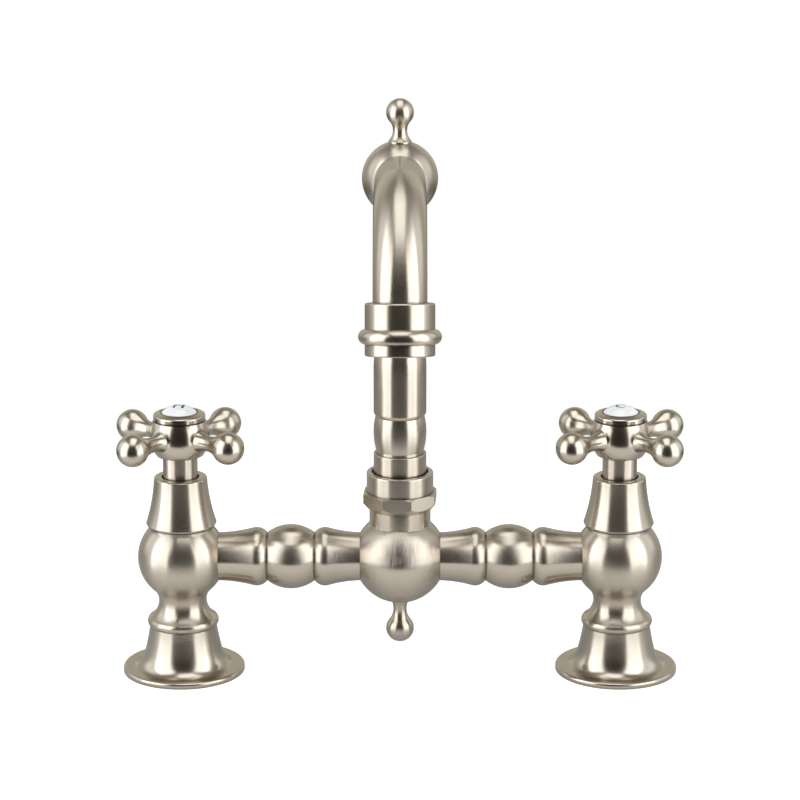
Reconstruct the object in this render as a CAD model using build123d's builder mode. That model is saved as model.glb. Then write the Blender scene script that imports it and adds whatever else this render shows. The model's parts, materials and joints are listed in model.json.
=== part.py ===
from build123d import *
from math import cos, radians, sin, sqrt
import os

# Bridge kitchen faucet: two quarter-turn valves joined by a turned bridge, with a
# swivelling spout on the bridge's centre ball. Millimetres, +Z up, the user at -Y.
# The origin is on the deck surface, midway between the two valves.

os.makedirs("parts", exist_ok=True)

# ---------------------------------------------------------------- driving dimensions

# stations
valve_spacing = 203.2  # 8 in between the valve centres
bridge_height = 55.5  # axis of the bridge above the deck
deck_thickness = 30.0  # the worktop that the deck nuts clamp

# fits
thread_gap = 0.05  # radial clearance of a screwed or pressed joint
running_gap = 0.05  # radial clearance of a turning shaft
slip_gap = 0.06  # axial clearance between faces that slide
cover_play = 0.3  # radial room of a cover or washer that slips over a thread
seal_lift = 0.01  # between an O-ring and the floor of its groove
tap_overrun = 0.5  # how far a tapped hole runs past its screw
bore_radius = 6.0  # water way through the bridge and the shanks

# escutcheon, the trumpet foot that stands on the deck
flange_radius = 28.4
flange_thickness = 2.7
flange_round = 1.3
escutcheon_height = 22.3
escutcheon_top_radius = 15.6
escutcheon_waist_radius = 17.4
escutcheon_waist_height = 12.4
escutcheon_root_radius = 23.2
escutcheon_root_slope = 0.45  # rise per unit inward, where the curve leaves the flange
escutcheon_top_slope = 0.13  # run inward per unit of height, at the top
escutcheon_roof = 3.0
escutcheon_mouth_radius = 19.4
escutcheon_cavity_top_radius = 12.9

# valve body
foot_bead_radius = 16.6
foot_bead_height = 4.0
foot_bead_crest = 2.2  # above its seam with the escutcheon
foot_bead_undercut = 1.1  # how far it draws in at that seam
foot_bead_shoulder = 0.75  # and where the neck begins
valve_neck_radius = 11.15
valve_neck_drop = 21.0  # neck below the axis of the bridge
valve_ball_radius = 20.5
shoulder_radius = 15.0
shoulder_rise = 1.5
body_spigot_radius = 12.0
body_spigot_length = 8.0
seat_drop = 7.2  # cartridge seat below the axis of the bridge
shank_socket_depth = 6.7

# shank, with its deck nut and washer
thread_radius = 10.45  # 1/2 in pipe thread, over the crests
shank_collar_radius = 10.8
shank_collar_top = 15.0
shank_collar_reach = 6.0  # how far the plain collar enters the deck
mounting_thread_length = 38.0
relief_radius = 9.6
relief_length = 2.0
supply_thread_length = 12.0
shank_chamfer = 0.8
deck_washer_radius = 19.0
deck_washer_thickness = 3.0
deck_nut_across_flats = 32.0
deck_nut_flange_radius = 18.0
deck_nut_flange_thickness = 2.0
deck_nut_height = 8.0
deck_nut_chamfer = 0.8

# bonnet, the bell-shaped cover over the cartridge
bonnet_height = 23.5
bonnet_foot_radius = 15.6
bonnet_lip_radius = 16.3
bonnet_lip_height = 1.3
bonnet_top_radius = 12.3
bonnet_top_round = 0.9
bonnet_mouth_radius = 8.7
bonnet_roof = 2.2
bonnet_cavity_radius = 10.5
bonnet_cavity_depth = 4.0  # below the roof, before it widens
bonnet_headroom = 0.3  # above the cartridge flange
bonnet_slope = 0.06  # run inward per unit of height, at both ends of the bell

# cartridge
cartridge_radius = 9.25
cartridge_chamber_radius = 7.6
cartridge_chamber_height = 15.2
cartridge_flange_radius = 11.6
cartridge_flange_thickness = 2.0
cartridge_hex_across_flats = 17.0
cartridge_hex_height = 5.5
cartridge_neck_radius = 6.2
cartridge_neck_height = 1.5
window_radius = 2.9
window_lift = 0.4  # above the turning disc
seat_seal_thickness = 1.7
seat_seal_bore = 5.6
disc_radius = 7.3
disc_thickness = 2.5
disc_port_radius = 2.1
disc_port_offset = 3.9
port_angle = 90.0  # the fixed ports lie across the bridge

# spindle and its drive fork
spindle_radius = 4.0
fork_thickness = 2.4
fork_radius = 7.1
fork_prong_width = 3.0
fork_prong_depth = 1.8  # thickness of a prong, measured inward from the fork's rim
fork_engagement = 1.6
fork_play = 0.15  # between a prong and its notch
stem_groove_height = 21.0  # above the fork
stem_groove_width = 1.5
stem_groove_depth = 1.0

# cross handle
handle_turn = 5.0  # the arms stand this many degrees off the diagonals
sleeve_radius = 8.0
sleeve_length = 16.5
sleeve_clearance = 0.5  # above the cartridge neck
hub_radius = 13.75
hub_below_arms = 8.5
hub_above_arms = 8.4
hub_top_radius = 12.0
arm_root_radius = 4.7
arm_neck_radius = 3.6
arm_neck_reach = 18.5
arm_ball_radius = 7.45
arm_ball_reach = 30.6
arm_stud_radius = 2.5
arm_stud_length = 4.0
spindle_socket_depth = 9.0
hub_web = 2.3
screw_radius = 1.95
screw_length = 13.5
screw_head_radius = 4.2
screw_head_height = 2.8
screw_drive_width = 3.0
screw_drive_depth = 1.7
screw_play = 0.2  # radial, where the screw passes the hub
screw_head_play = 0.4

# index ring and porcelain button
ring_side_height = 1.8
ring_round = 1.0
ring_top_rise = 0.7
ring_web = 1.1
ring_skirt_radius = 6.9
ring_skirt_length = 2.2
ring_bore_radius = 5.0
button_radius = 8.05
button_gap = 0.35
button_edge_height = 2.4
button_dome = 3.1

# bridge
centre_ball_radius = 21.7
arm_end_radius = 11.25
trumpet_radius = 13.65
trumpet_round = 2.1
trumpet_setback = 4.3  # from a bead's face to where the trumpet is widest
trumpet_fall = 0.15  # radius lost over the round behind its widest part
groove_radius = 11.25  # where bead and trumpet meet
bead_radius = 15.0
bead_half_width = 11.0
nipple_radius = 8.4
ball_nipple_length = 3.9
bead_nipple_length = 6.0

# centre body and swivel nut
centre_neck_radius = 14.2
centre_neck_height = 24.3  # shoulder above the axis of the bridge
swivel_thread_radius = 12.95
swivel_thread_length = 10.7
swivel_bore_radius = 9.6
swivel_bore_depth = 27.5
chamber_radius = 8.5
chamber_depth = 9.5  # below the axis of the bridge
nut_corner_radius = 17.8
nut_clocking = 17.3  # one corner of the octagon, in degrees from +X
nut_band_height = 8.0
nut_lower_chamfer = 3.2
nut_lower_radius = 15.1
nut_upper_chamfer = 0.9
nut_upper_radius = 16.7
nut_collar_radius = 15.45
nut_collar_height = 9.2
nut_collar_round = 0.8
nut_lip_thickness = 2.0
nut_lip_radius = 13.2
nut_cavity_radius = 14.2
nut_thread_overrun = 0.4  # above the end of the body's thread
slip_washer_thickness = 0.65
slip_washer_radius = 12.6
slip_washer_play = 0.15  # around the spout's shank

# spout: swivel base, riser, ball, tube and outlet
swivel_length = 26.7
swivel_way_radius = 7.0
collar_radius = 12.2
collar_height = 15.0
groove_height = 1.4
collar_edge = 0.6
barrel_radius = 12.15
barrel_groove_radius = 11.15
barrel_height = 16.3
ring_groove_floor = 11.4
ring_groove_base = 1.2
ring_groove_width = 2.4
retainer_radius = 13.9
retainer_thickness = 2.2
retainer_split = 4.0
seal_section = 0.65
seal_groove_floor = 8.2
seal_groove_width = 1.7
seal_groove_heights = (6.0, 14.0)  # above the bottom of the swivel shank
base_spigot_radius = 9.4
base_spigot_length = 9.0
riser_radius = 12.1
riser_round = 2.0
riser_sleeve_length = 23.1  # from the groove up to where it draws in
riser_shoulder_length = 6.5
riser_stem_radius = 11.5
riser_cap = 2.5
crown_height = 234.5  # centre of the spout's ball
crown_radius = 17.16
crown_way_radius = 6.9
tube_radius = 11.5
tube_wall = 1.6
tube_rise = 4.0  # degrees above level where it leaves the ball
tube_straight = 60.0  # from the centre of the ball
tube_bend_radius = 44.0
outlet_lean = 11.5  # degrees off plumb, towards the user
tube_drop = 1.4  # straight length between the bend and the outlet
outlet_radius = 14.8
outlet_length = 22.3
outlet_round = 0.8
outlet_bead_radius = 17.55
outlet_bead_height = 6.4
outlet_bead_station = 14.2
outlet_socket_depth = 8.0
outlet_web = 1.5
outlet_web_bore = 9.6

# aerator
aerator_thread_radius = 11.95
aerator_washer_thickness = 1.0
aerator_recess = 0.9
aerator_wall = 1.7
screen_thickness = 0.8
screen_recess = 2.6
screen_hole_radius = 0.8
screen_hole_pitch = 2.3
screen_hole_rows = 7
screen_rim = 1.2  # from the shell's bore to the outermost hole's centre
screen_seat_depth = 0.5  # of the groove that holds the screen

# finials
top_finial_base_radius = 5.2
top_finial_rim = 0.8
top_finial_neck_radius = 3.2
top_finial_neck_height = 5.6
top_finial_ball_radius = 6.24
top_finial_ball_height = 13.7
low_finial_base_radius = 4.0
low_finial_rim = 0.4
low_finial_neck_radius = 3.1
low_finial_neck_height = 4.3
low_finial_ball_radius = 6.5
low_finial_ball_height = 13.8
finial_stud_radius = 1.95
finial_stud_length = 6.0

# ---------------------------------------------------------------- heights that follow


def rise(ball_radius, circle_radius):
    """How far from a ball's centre the circle of the given radius lies on it."""
    return sqrt(ball_radius**2 - circle_radius**2)


def cove_radius(neck_radius, neck_distance, ball_radius):
    """Radius of the cove that runs from a neck, in line with its axis, into a ball."""
    square = neck_distance**2 + neck_radius**2 - ball_radius**2
    return square / (2 * (ball_radius - neck_radius))


def cove_end(neck_radius, neck_distance, ball_radius):
    """Where that cove meets the ball: its radius, and its distance from the ball's centre."""
    cove = cove_radius(neck_radius, neck_distance, ball_radius)
    share = ball_radius / (ball_radius + cove)
    return (neck_radius + cove) * share, neck_distance * share


half_spacing = valve_spacing / 2
bead_station = half_spacing / 2

shoulder_height = bridge_height + rise(valve_ball_radius, shoulder_radius)
bonnet_seat = shoulder_height + shoulder_rise
body_top = bonnet_seat + body_spigot_length
cartridge_seat = bridge_height - seat_drop
chamber_top = cartridge_seat + cartridge_chamber_height
cartridge_top = (
    body_top + cartridge_flange_thickness + cartridge_hex_height + cartridge_neck_height
)
fixed_disc_base = cartridge_seat + seat_seal_thickness
moving_disc_base = fixed_disc_base + disc_thickness + slip_gap
fork_top = chamber_top - 2 * slip_gap
sleeve_base = cartridge_top + sleeve_clearance
hub_base = sleeve_base + sleeve_length
arm_height = hub_base + hub_below_arms
arm_seat = rise(hub_radius, arm_root_radius)  # a flat on the hub, as wide as an arm's root
hub_top = arm_height + hub_above_arms
spindle_top = hub_base + spindle_socket_depth
screw_seat = spindle_top + hub_web
ring_skirt_base = hub_top - ring_skirt_length
button_base = hub_top + ring_web

valve_flat = rise(valve_ball_radius, arm_end_radius)
centre_flat = rise(centre_ball_radius, arm_end_radius)

nut_base = bridge_height + centre_neck_height
nut_band_top = nut_base + nut_band_height
nut_top = nut_band_top + nut_collar_height
neck_top = nut_base + swivel_thread_length
spout_seat = neck_top + slip_washer_thickness + slip_gap
collar_top = spout_seat + collar_height
barrel_base = collar_top + groove_height
riser_base = barrel_base + barrel_height
riser_shoulder = riser_base + riser_sleeve_length
riser_top = crown_height - rise(crown_radius, riser_stem_radius)


def upright(x):
    """The plane that a turned outline is drawn on, around the vertical line at x."""
    return Plane(origin=(x, 0, 0), x_dir=(1, 0, 0), z_dir=(0, -1, 0))


def vertical(x):
    return Axis((x, 0, 0), (0, 0, 1))


def along_bridge(x, side):
    """As upright, around the bridge's axis: local x runs outward on the given side."""
    return Plane(origin=(x, 0, bridge_height), x_dir=(side, 0, 0), z_dir=(0, -side, 0))


bridge_axis = Axis((0, 0, bridge_height), (1, 0, 0))


def save(piece, name):
    piece.part.label = name
    export_step(piece.part, f"parts/{name}.step")


def turned_ring(plane, axis, inner, outer, low, high):
    """A plain ring or disc between two radii and two stations."""
    with BuildPart() as ring:
        with BuildSketch(plane):
            with BuildLine():
                Polyline((inner, low), (outer, low), (outer, high), (inner, high), close=True)
            make_face()
        revolve(axis=axis)
    return ring


# ---------------------------------------------------------------- valve, fixed pieces


def make_escutcheon(x):
    hole_radius = thread_radius + cover_play
    roof = escutcheon_height - escutcheon_roof
    with BuildPart() as escutcheon:
        with BuildSketch(upright(x)):
            with BuildLine():
                Line((escutcheon_mouth_radius, 0), (flange_radius, 0))
                Line((flange_radius, 0), (flange_radius, flange_thickness - flange_round))
                TangentArc(
                    (flange_radius, flange_thickness - flange_round),
                    (flange_radius - flange_round, flange_thickness),
                    tangent=(0, 1),
                )
                Line(
                    (flange_radius - flange_round, flange_thickness),
                    (escutcheon_root_radius, flange_thickness),
                )
                Spline(
                    (escutcheon_root_radius, flange_thickness),
                    (escutcheon_waist_radius, escutcheon_waist_height),
                    (escutcheon_top_radius, escutcheon_height),
                    tangents=[(-1, escutcheon_root_slope), (-escutcheon_top_slope, 1)],
                )
                Polyline(
                    (escutcheon_top_radius, escutcheon_height),
                    (hole_radius, escutcheon_height),
                    (hole_radius, roof),
                    (escutcheon_cavity_top_radius, roof),
                    (escutcheon_mouth_radius, 0),
                )
            make_face()
        revolve(axis=vertical(x))
    return escutcheon


def make_bridge_port(x, side, flat, ball_radius):
    """What is cut from a ball where an arm meets it: a flat, a nipple socket, a water way."""
    socket_radius = nipple_radius + thread_gap
    with BuildPart() as port:
        with BuildSketch(along_bridge(x, side)):
            with BuildLine():
                Polyline(
                    (0, 0),
                    (0, bore_radius),
                    (flat - ball_nipple_length, bore_radius),
                    (flat - ball_nipple_length, socket_radius),
                    (flat, socket_radius),
                    (flat, ball_radius),
                    (ball_radius, ball_radius),
                    (ball_radius, 0),
                    close=True,
                )
            make_face()
        revolve(axis=bridge_axis)
    return port


def make_valve_body(x, side):
    """Side is -1 for the valve at -X and 1 for the one at +X."""
    foot = escutcheon_height
    bead_top = foot + foot_bead_height
    neck = bridge_height - valve_neck_drop
    cove_end_radius, cove_end_drop = cove_end(
        valve_neck_radius, valve_neck_drop, valve_ball_radius
    )
    cove_top = (cove_end_radius, bridge_height - cove_end_drop)
    bead_seam = foot_bead_radius - foot_bead_undercut
    bead_crest = foot + foot_bead_crest
    socket_top = foot + shank_socket_depth
    socket_radius = thread_radius + thread_gap
    cartridge_bore = cartridge_radius + thread_gap
    port = make_bridge_port(x, -side, valve_flat, valve_ball_radius)
    with BuildPart() as body:
        with BuildSketch(upright(x)):
            with BuildLine():
                Line((0, foot), (bead_seam, foot))
                bead = ThreePointArc(
                    (bead_seam, foot),
                    (foot_bead_radius, bead_crest),
                    (foot_bead_radius - foot_bead_shoulder, bead_top),
                )
                TangentArc((valve_neck_radius, neck), bead @ 1, tangent=(0, -1))
                TangentArc((valve_neck_radius, neck), cove_top, tangent=(0, 1))
                ThreePointArc(
                    cove_top,
                    (valve_ball_radius, bridge_height),
                    (shoulder_radius, shoulder_height),
                )
                Polyline(
                    (shoulder_radius, shoulder_height),
                    (shoulder_radius, bonnet_seat),
                    (body_spigot_radius, bonnet_seat),
                    (body_spigot_radius, body_top),
                    (0, body_top),
                    (0, foot),
                )
            make_face()
        revolve(axis=vertical(x))
        with BuildSketch(upright(x)):
            with BuildLine():
                Polyline(
                    (0, foot),
                    (socket_radius, foot),
                    (socket_radius, socket_top),
                    (bore_radius, socket_top),
                    (bore_radius, cartridge_seat),
                    (cartridge_bore, cartridge_seat),
                    (cartridge_bore, body_top),
                    (0, body_top),
                    close=True,
                )
            make_face()
        revolve(axis=vertical(x), mode=Mode.SUBTRACT)
        add(port, mode=Mode.SUBTRACT)
    return body


def make_bonnet(x):
    top = bonnet_seat + bonnet_height
    roof = top - bonnet_roof
    lip = bonnet_seat + bonnet_lip_height
    thread = body_spigot_radius + thread_gap
    clear = body_top + cartridge_flange_thickness + bonnet_headroom
    with BuildPart() as bonnet:
        with BuildSketch(upright(x)):
            with BuildLine():
                Line((thread, bonnet_seat), (bonnet_foot_radius, bonnet_seat))
                Line((bonnet_foot_radius, bonnet_seat), (bonnet_lip_radius, lip))
                bell = TangentArc(
                    (bonnet_top_radius, top - bonnet_top_round),
                    (bonnet_lip_radius, lip),
                    tangent=(bonnet_slope, -1),
                )
                crown = TangentArc(
                    bell @ 0,
                    (bonnet_top_radius - bonnet_top_round, top),
                    tangent=(-bonnet_slope, 1),
                )
                Polyline(
                    crown @ 1,
                    (bonnet_mouth_radius, top),
                    (bonnet_mouth_radius, roof),
                    (bonnet_cavity_radius, roof),
                    (bonnet_cavity_radius, roof - bonnet_cavity_depth),
                    (thread, clear),
                    (thread, bonnet_seat),
                )
            make_face()
        revolve(axis=vertical(x))
    return bonnet


def make_cartridge(x):
    flange_top = body_top + cartridge_flange_thickness
    hex_top = flange_top + cartridge_hex_height
    stem_bore = spindle_radius + running_gap
    with BuildPart() as cartridge:
        with BuildSketch(upright(x)):
            with BuildLine():
                Polyline(
                    (cartridge_chamber_radius, cartridge_seat),
                    (cartridge_radius, cartridge_seat),
                    (cartridge_radius, body_top),
                    (cartridge_flange_radius, body_top),
                    (cartridge_flange_radius, flange_top),
                    (cartridge_neck_radius, flange_top),
                    (cartridge_neck_radius, cartridge_top),
                    (stem_bore, cartridge_top),
                    (stem_bore, chamber_top),
                    (cartridge_chamber_radius, chamber_top),
                    close=True,
                )
            make_face()
        revolve(axis=vertical(x))
        with BuildSketch(Plane(origin=(x, 0, flange_top))):
            RegularPolygon(cartridge_hex_across_flats / 2, 6, major_radius=False)
            Circle(stem_bore, mode=Mode.SUBTRACT)
        extrude(amount=hex_top - flange_top)
        # the two windows that let the water out to the bridge
        window_height = moving_disc_base + disc_thickness + window_radius + window_lift
        with BuildSketch(Plane(origin=(x, 0, window_height), z_dir=(1, 0, 0))):
            Circle(window_radius)
        extrude(amount=2 * cartridge_radius, both=True, mode=Mode.SUBTRACT)
    return cartridge


def make_disc(x, base, angle, radius, notched):
    """A ceramic disc with two ports; the turning disc also has two notches for the fork."""
    with BuildPart() as disc:
        with BuildSketch(Plane(origin=(x, 0, base))):
            Circle(radius)
            with PolarLocations(disc_port_offset, 2, start_angle=angle):
                Circle(disc_port_radius, mode=Mode.SUBTRACT)
            if notched:
                notch_width = fork_prong_width + 2 * fork_play
                prong_inside = rise(fork_radius - fork_prong_depth, fork_prong_width / 2)
                notch_depth = 2 * (radius - prong_inside + fork_play)
                with PolarLocations(radius, 2, start_angle=angle + 90):
                    Rectangle(notch_depth, notch_width, mode=Mode.SUBTRACT)
        extrude(amount=disc_thickness)
    return disc


def make_shank(x):
    """The threaded shank that passes the deck; its end takes the supply hose."""
    top = escutcheon_height + shank_socket_depth
    mounting_end = -shank_collar_reach - mounting_thread_length
    supply_start = mounting_end - relief_length
    end = supply_start - supply_thread_length
    with BuildPart() as shank:
        with BuildSketch(upright(x)):
            with BuildLine():
                Polyline(
                    (bore_radius, top),
                    (thread_radius, top),
                    (thread_radius, shank_collar_top),
                    (shank_collar_radius, shank_collar_top),
                    (shank_collar_radius, -shank_collar_reach),
                    (thread_radius, -shank_collar_reach),
                    (thread_radius, mounting_end),
                    (relief_radius, mounting_end),
                    (relief_radius, supply_start),
                    (thread_radius, supply_start),
                    (thread_radius, end + shank_chamfer),
                    (thread_radius - shank_chamfer, end),
                    (bore_radius, end),
                    close=True,
                )
            make_face()
        revolve(axis=vertical(x))
    return shank


def make_deck_washer(x):
    top = -deck_thickness
    bore = thread_radius + cover_play
    base = top - deck_washer_thickness
    return turned_ring(upright(x), vertical(x), bore, deck_washer_radius, base, top)


def make_deck_nut(x):
    top = -deck_thickness - deck_washer_thickness
    corner_radius = deck_nut_across_flats / 2 / cos(radians(30))
    with BuildPart() as nut:
        with BuildSketch(Plane(origin=(x, 0, top))):
            RegularPolygon(corner_radius, 6)
        extrude(amount=-deck_nut_height)
        bottom_edges = nut.edges().group_by(Axis.Z)[0]
        chamfer(bottom_edges, length=deck_nut_chamfer)
        with BuildSketch(Plane(origin=(x, 0, top))):
            Circle(deck_nut_flange_radius)
        extrude(amount=-deck_nut_flange_thickness)
        with BuildSketch(Plane(origin=(x, 0, top))):
            Circle(thread_radius + thread_gap)
        extrude(amount=-deck_nut_height, mode=Mode.SUBTRACT)
    return nut


# ---------------------------------------------------------------- valve, turning pieces


def make_spindle(x):
    """The spindle turns the moving disc through the fork at its foot."""
    fork_base = fork_top - fork_thickness
    prong_end = moving_disc_base + disc_thickness - fork_engagement
    groove_base = fork_top + stem_groove_height
    groove_top = groove_base + stem_groove_width
    groove_floor = spindle_radius - stem_groove_depth
    with BuildPart() as spindle:
        with BuildSketch(upright(x)):
            with BuildLine():
                Polyline(
                    (0, fork_base),
                    (fork_radius, fork_base),
                    (fork_radius, fork_top),
                    (spindle_radius, fork_top),
                    (spindle_radius, groove_base),
                    (groove_floor, groove_base),
                    (groove_floor, groove_top),
                    (spindle_radius, groove_top),
                    (spindle_radius, spindle_top),
                    (0, spindle_top),
                    close=True,
                )
            make_face()
        revolve(axis=vertical(x))
        with BuildSketch(Plane(origin=(x, 0, fork_base))):
            Circle(fork_radius)
            Circle(fork_radius - fork_prong_depth, mode=Mode.SUBTRACT)
            Rectangle(fork_prong_width, 2 * fork_radius, mode=Mode.INTERSECT)
        extrude(amount=prong_end - fork_base)
        with Locations((x, 0, spindle_top)):
            Hole(screw_radius + thread_gap, depth=screw_length - hub_web + tap_overrun)
    return spindle


def make_stem_seal(x):
    height = fork_top + stem_groove_height + stem_groove_width / 2
    section = stem_groove_depth / 2 - seal_lift
    with BuildPart() as seal:
        with BuildSketch(upright(x)):
            with Locations((spindle_radius - stem_groove_depth + seal_lift + section, height)):
                Circle(section)
        revolve(axis=vertical(x))
    return seal


def make_stem_sleeve(x):
    bore = spindle_radius + thread_gap
    return turned_ring(upright(x), vertical(x), bore, sleeve_radius, sleeve_base, hub_base)


def arm_angles(turn):
    return [45 + turn + 90 * quarter for quarter in range(4)]


def arm_plane(x, angle):
    """As upright, around an arm's axis: local x runs outward from the handle's axis."""
    way = (cos(radians(angle)), sin(radians(angle)), 0)
    return Plane(origin=(x, 0, arm_height), x_dir=way, z_dir=(way[1], -way[0], 0))


def arm_axis(x, angle):
    return Axis((x, 0, arm_height), (cos(radians(angle)), sin(radians(angle)), 0))


def make_hub(x, turn):
    base_radius = rise(hub_radius, hub_below_arms)
    stud_end = arm_seat - arm_stud_length
    with BuildPart() as hub:
        with BuildSketch(upright(x)):
            with BuildLine():
                Line((0, hub_base), (base_radius, hub_base))
                TangentArc(
                    (hub_radius, arm_height), (base_radius, hub_base), tangent=(0, -1)
                )
                TangentArc(
                    (hub_radius, arm_height), (hub_top_radius, hub_top), tangent=(0, 1)
                )
                Line((hub_top_radius, hub_top), (0, hub_top))
                Line((0, hub_top), (0, hub_base))
            make_face()
        revolve(axis=vertical(x))
        with BuildSketch(upright(x)):
            with BuildLine():
                Polyline(
                    (0, hub_base),
                    (spindle_radius + thread_gap, hub_base),
                    (spindle_radius + thread_gap, spindle_top),
                    (screw_radius + screw_play, spindle_top),
                    (screw_radius + screw_play, screw_seat),
                    (screw_head_radius + screw_head_play, screw_seat),
                    (screw_head_radius + screw_head_play, ring_skirt_base),
                    (ring_skirt_radius + thread_gap, ring_skirt_base),
                    (ring_skirt_radius + thread_gap, hub_top),
                    (0, hub_top),
                    close=True,
                )
            make_face()
        revolve(axis=vertical(x), mode=Mode.SUBTRACT)
        # a flat and a tapped hole for each arm
        for angle in arm_angles(turn):
            with BuildSketch(arm_plane(x, angle)):
                with BuildLine():
                    Polyline(
                        (stud_end, 0),
                        (stud_end, arm_stud_radius + thread_gap),
                        (arm_seat, arm_stud_radius + thread_gap),
                        (arm_seat, arm_ball_radius),
                        (arm_ball_reach, arm_ball_radius),
                        (arm_ball_reach, 0),
                        close=True,
                    )
                make_face()
            revolve(axis=arm_axis(x, angle), mode=Mode.SUBTRACT)
    return hub


def make_arms(x, turn):
    """Four turned arms with ball ends, each on a stud that screws into the hub."""
    neck_distance = arm_ball_reach - arm_neck_reach
    cove_end_radius, cove_end_distance = cove_end(
        arm_neck_radius, neck_distance, arm_ball_radius
    )
    cove_foot = (arm_ball_reach - cove_end_distance, cove_end_radius)
    tip = arm_ball_reach + arm_ball_radius
    with BuildPart() as arms:
        for angle in arm_angles(turn):
            with BuildSketch(arm_plane(x, angle)):
                with BuildLine():
                    neck = (arm_neck_reach, arm_neck_radius)
                    Polyline(
                        (tip, 0),
                        (arm_seat - arm_stud_length, 0),
                        (arm_seat - arm_stud_length, arm_stud_radius),
                        (arm_seat, arm_stud_radius),
                        (arm_seat, arm_root_radius),
                    )
                    TangentArc(neck, (arm_seat, arm_root_radius), tangent=(-1, 0))
                    TangentArc(neck, cove_foot, tangent=(1, 0))
                    ThreePointArc(
                        cove_foot, (arm_ball_reach, arm_ball_radius), (tip, 0)
                    )
                make_face()
            revolve(axis=arm_axis(x, angle))
    return arms


def make_handle_screw(x):
    head_top = screw_seat + screw_head_height
    tip = screw_seat - screw_length
    with BuildPart() as screw:
        with BuildSketch(upright(x)):
            with BuildLine():
                Polyline(
                    (0, tip),
                    (screw_radius, tip),
                    (screw_radius, screw_seat),
                    (screw_head_radius, screw_seat),
                    (screw_head_radius, head_top),
                    (0, head_top),
                    close=True,
                )
            make_face()
        revolve(axis=vertical(x))
        with BuildSketch(Plane(origin=(x, 0, head_top))):
            RegularPolygon(screw_drive_width / 2, 6, major_radius=False)
        extrude(amount=-screw_drive_depth, mode=Mode.SUBTRACT)
    return screw


def make_index_ring(x):
    side_top = hub_top + ring_side_height
    shelf = side_top + ring_round
    recess = button_radius + button_gap
    with BuildPart() as ring:
        with BuildSketch(upright(x)):
            with BuildLine():
                Line((hub_top_radius, hub_top), (hub_top_radius, side_top))
                TangentArc(
                    (hub_top_radius, side_top),
                    (hub_top_radius - ring_round, shelf),
                    tangent=(0, 1),
                )
                Polyline(
                    (hub_top_radius - ring_round, shelf),
                    (recess, shelf + ring_top_rise),
                    (recess, button_base),
                    (ring_bore_radius, button_base),
                    (ring_bore_radius, ring_skirt_base),
                    (ring_skirt_radius, ring_skirt_base),
                    (ring_skirt_radius, hub_top),
                    (hub_top_radius, hub_top),
                )
            make_face()
        revolve(axis=vertical(x))
    return ring


def make_index_button(x):
    edge = button_base + button_edge_height
    with BuildPart() as button:
        with BuildSketch(upright(x)):
            with BuildLine():
                Line((0, edge + button_dome), (0, button_base))
                Line((0, button_base), (button_radius, button_base))
                Line((button_radius, button_base), (button_radius, edge))
                TangentArc(
                    (0, edge + button_dome), (button_radius, edge), tangent=(1, 0)
                )
            make_face()
        revolve(axis=vertical(x))
    return button


# ---------------------------------------------------------------- both valves

for valve, side in (("hot", -1), ("cold", 1)):
    x = side * half_spacing
    turn = -side * handle_turn
    save(make_escutcheon(x), f"{valve}_escutcheon")
    save(make_valve_body(x, side), f"{valve}_valve_body")
    save(make_shank(x), f"{valve}_shank")
    save(make_deck_washer(x), f"{valve}_deck_washer")
    save(make_deck_nut(x), f"{valve}_deck_nut")
    save(make_bonnet(x), f"{valve}_bonnet")
    save(make_cartridge(x), f"{valve}_cartridge")
    seal_radius = cartridge_chamber_radius - thread_gap
    seat_seal = turned_ring(
        upright(x), vertical(x), seat_seal_bore, seal_radius, cartridge_seat, fixed_disc_base
    )
    save(seat_seal, f"{valve}_seat_seal")
    fixed_disc = make_disc(x, fixed_disc_base, port_angle, seal_radius, False)
    save(fixed_disc, f"{valve}_fixed_disc")
    moving_disc = make_disc(x, moving_disc_base, port_angle + 90, disc_radius, True)
    save(moving_disc, f"{valve}_moving_disc")
    save(make_spindle(x), f"{valve}_spindle")
    save(make_stem_seal(x), f"{valve}_stem_seal")
    save(make_stem_sleeve(x), f"{valve}_stem_sleeve")
    save(make_hub(x, turn), f"{valve}_handle_hub")
    save(make_arms(x, turn), f"{valve}_handle_arms")
    save(make_handle_screw(x), f"{valve}_handle_screw")
    save(make_index_ring(x), f"{valve}_index_ring")
    save(make_index_button(x), f"{valve}_index_button")

# ---------------------------------------------------------------- bridge


def make_trumpet(side, way, flat, ball_station):
    """A turned arm piece from a bead to a ball. Way is 1 when the ball lies outward."""
    face = bead_half_width
    end = way * (ball_station - bead_station) - flat
    crest = face + trumpet_setback
    with BuildPart() as trumpet:
        with BuildSketch(along_bridge(side * bead_station, side * way)):
            with BuildLine():
                Polyline(
                    (face, groove_radius),
                    (face, nipple_radius),
                    (face - bead_nipple_length, nipple_radius),
                    (face - bead_nipple_length, bore_radius),
                    (end + ball_nipple_length, bore_radius),
                    (end + ball_nipple_length, nipple_radius),
                    (end, nipple_radius),
                    (end, arm_end_radius),
                )
                horn = TangentArc(
                    (end, arm_end_radius),
                    (crest + trumpet_round, trumpet_radius - trumpet_fall),
                    tangent=(-1, 0.02),
                )
                ThreePointArc(
                    horn @ 1,
                    (crest, trumpet_radius),
                    (face, groove_radius),
                )
            make_face()
        revolve(axis=bridge_axis)
    return trumpet


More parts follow.
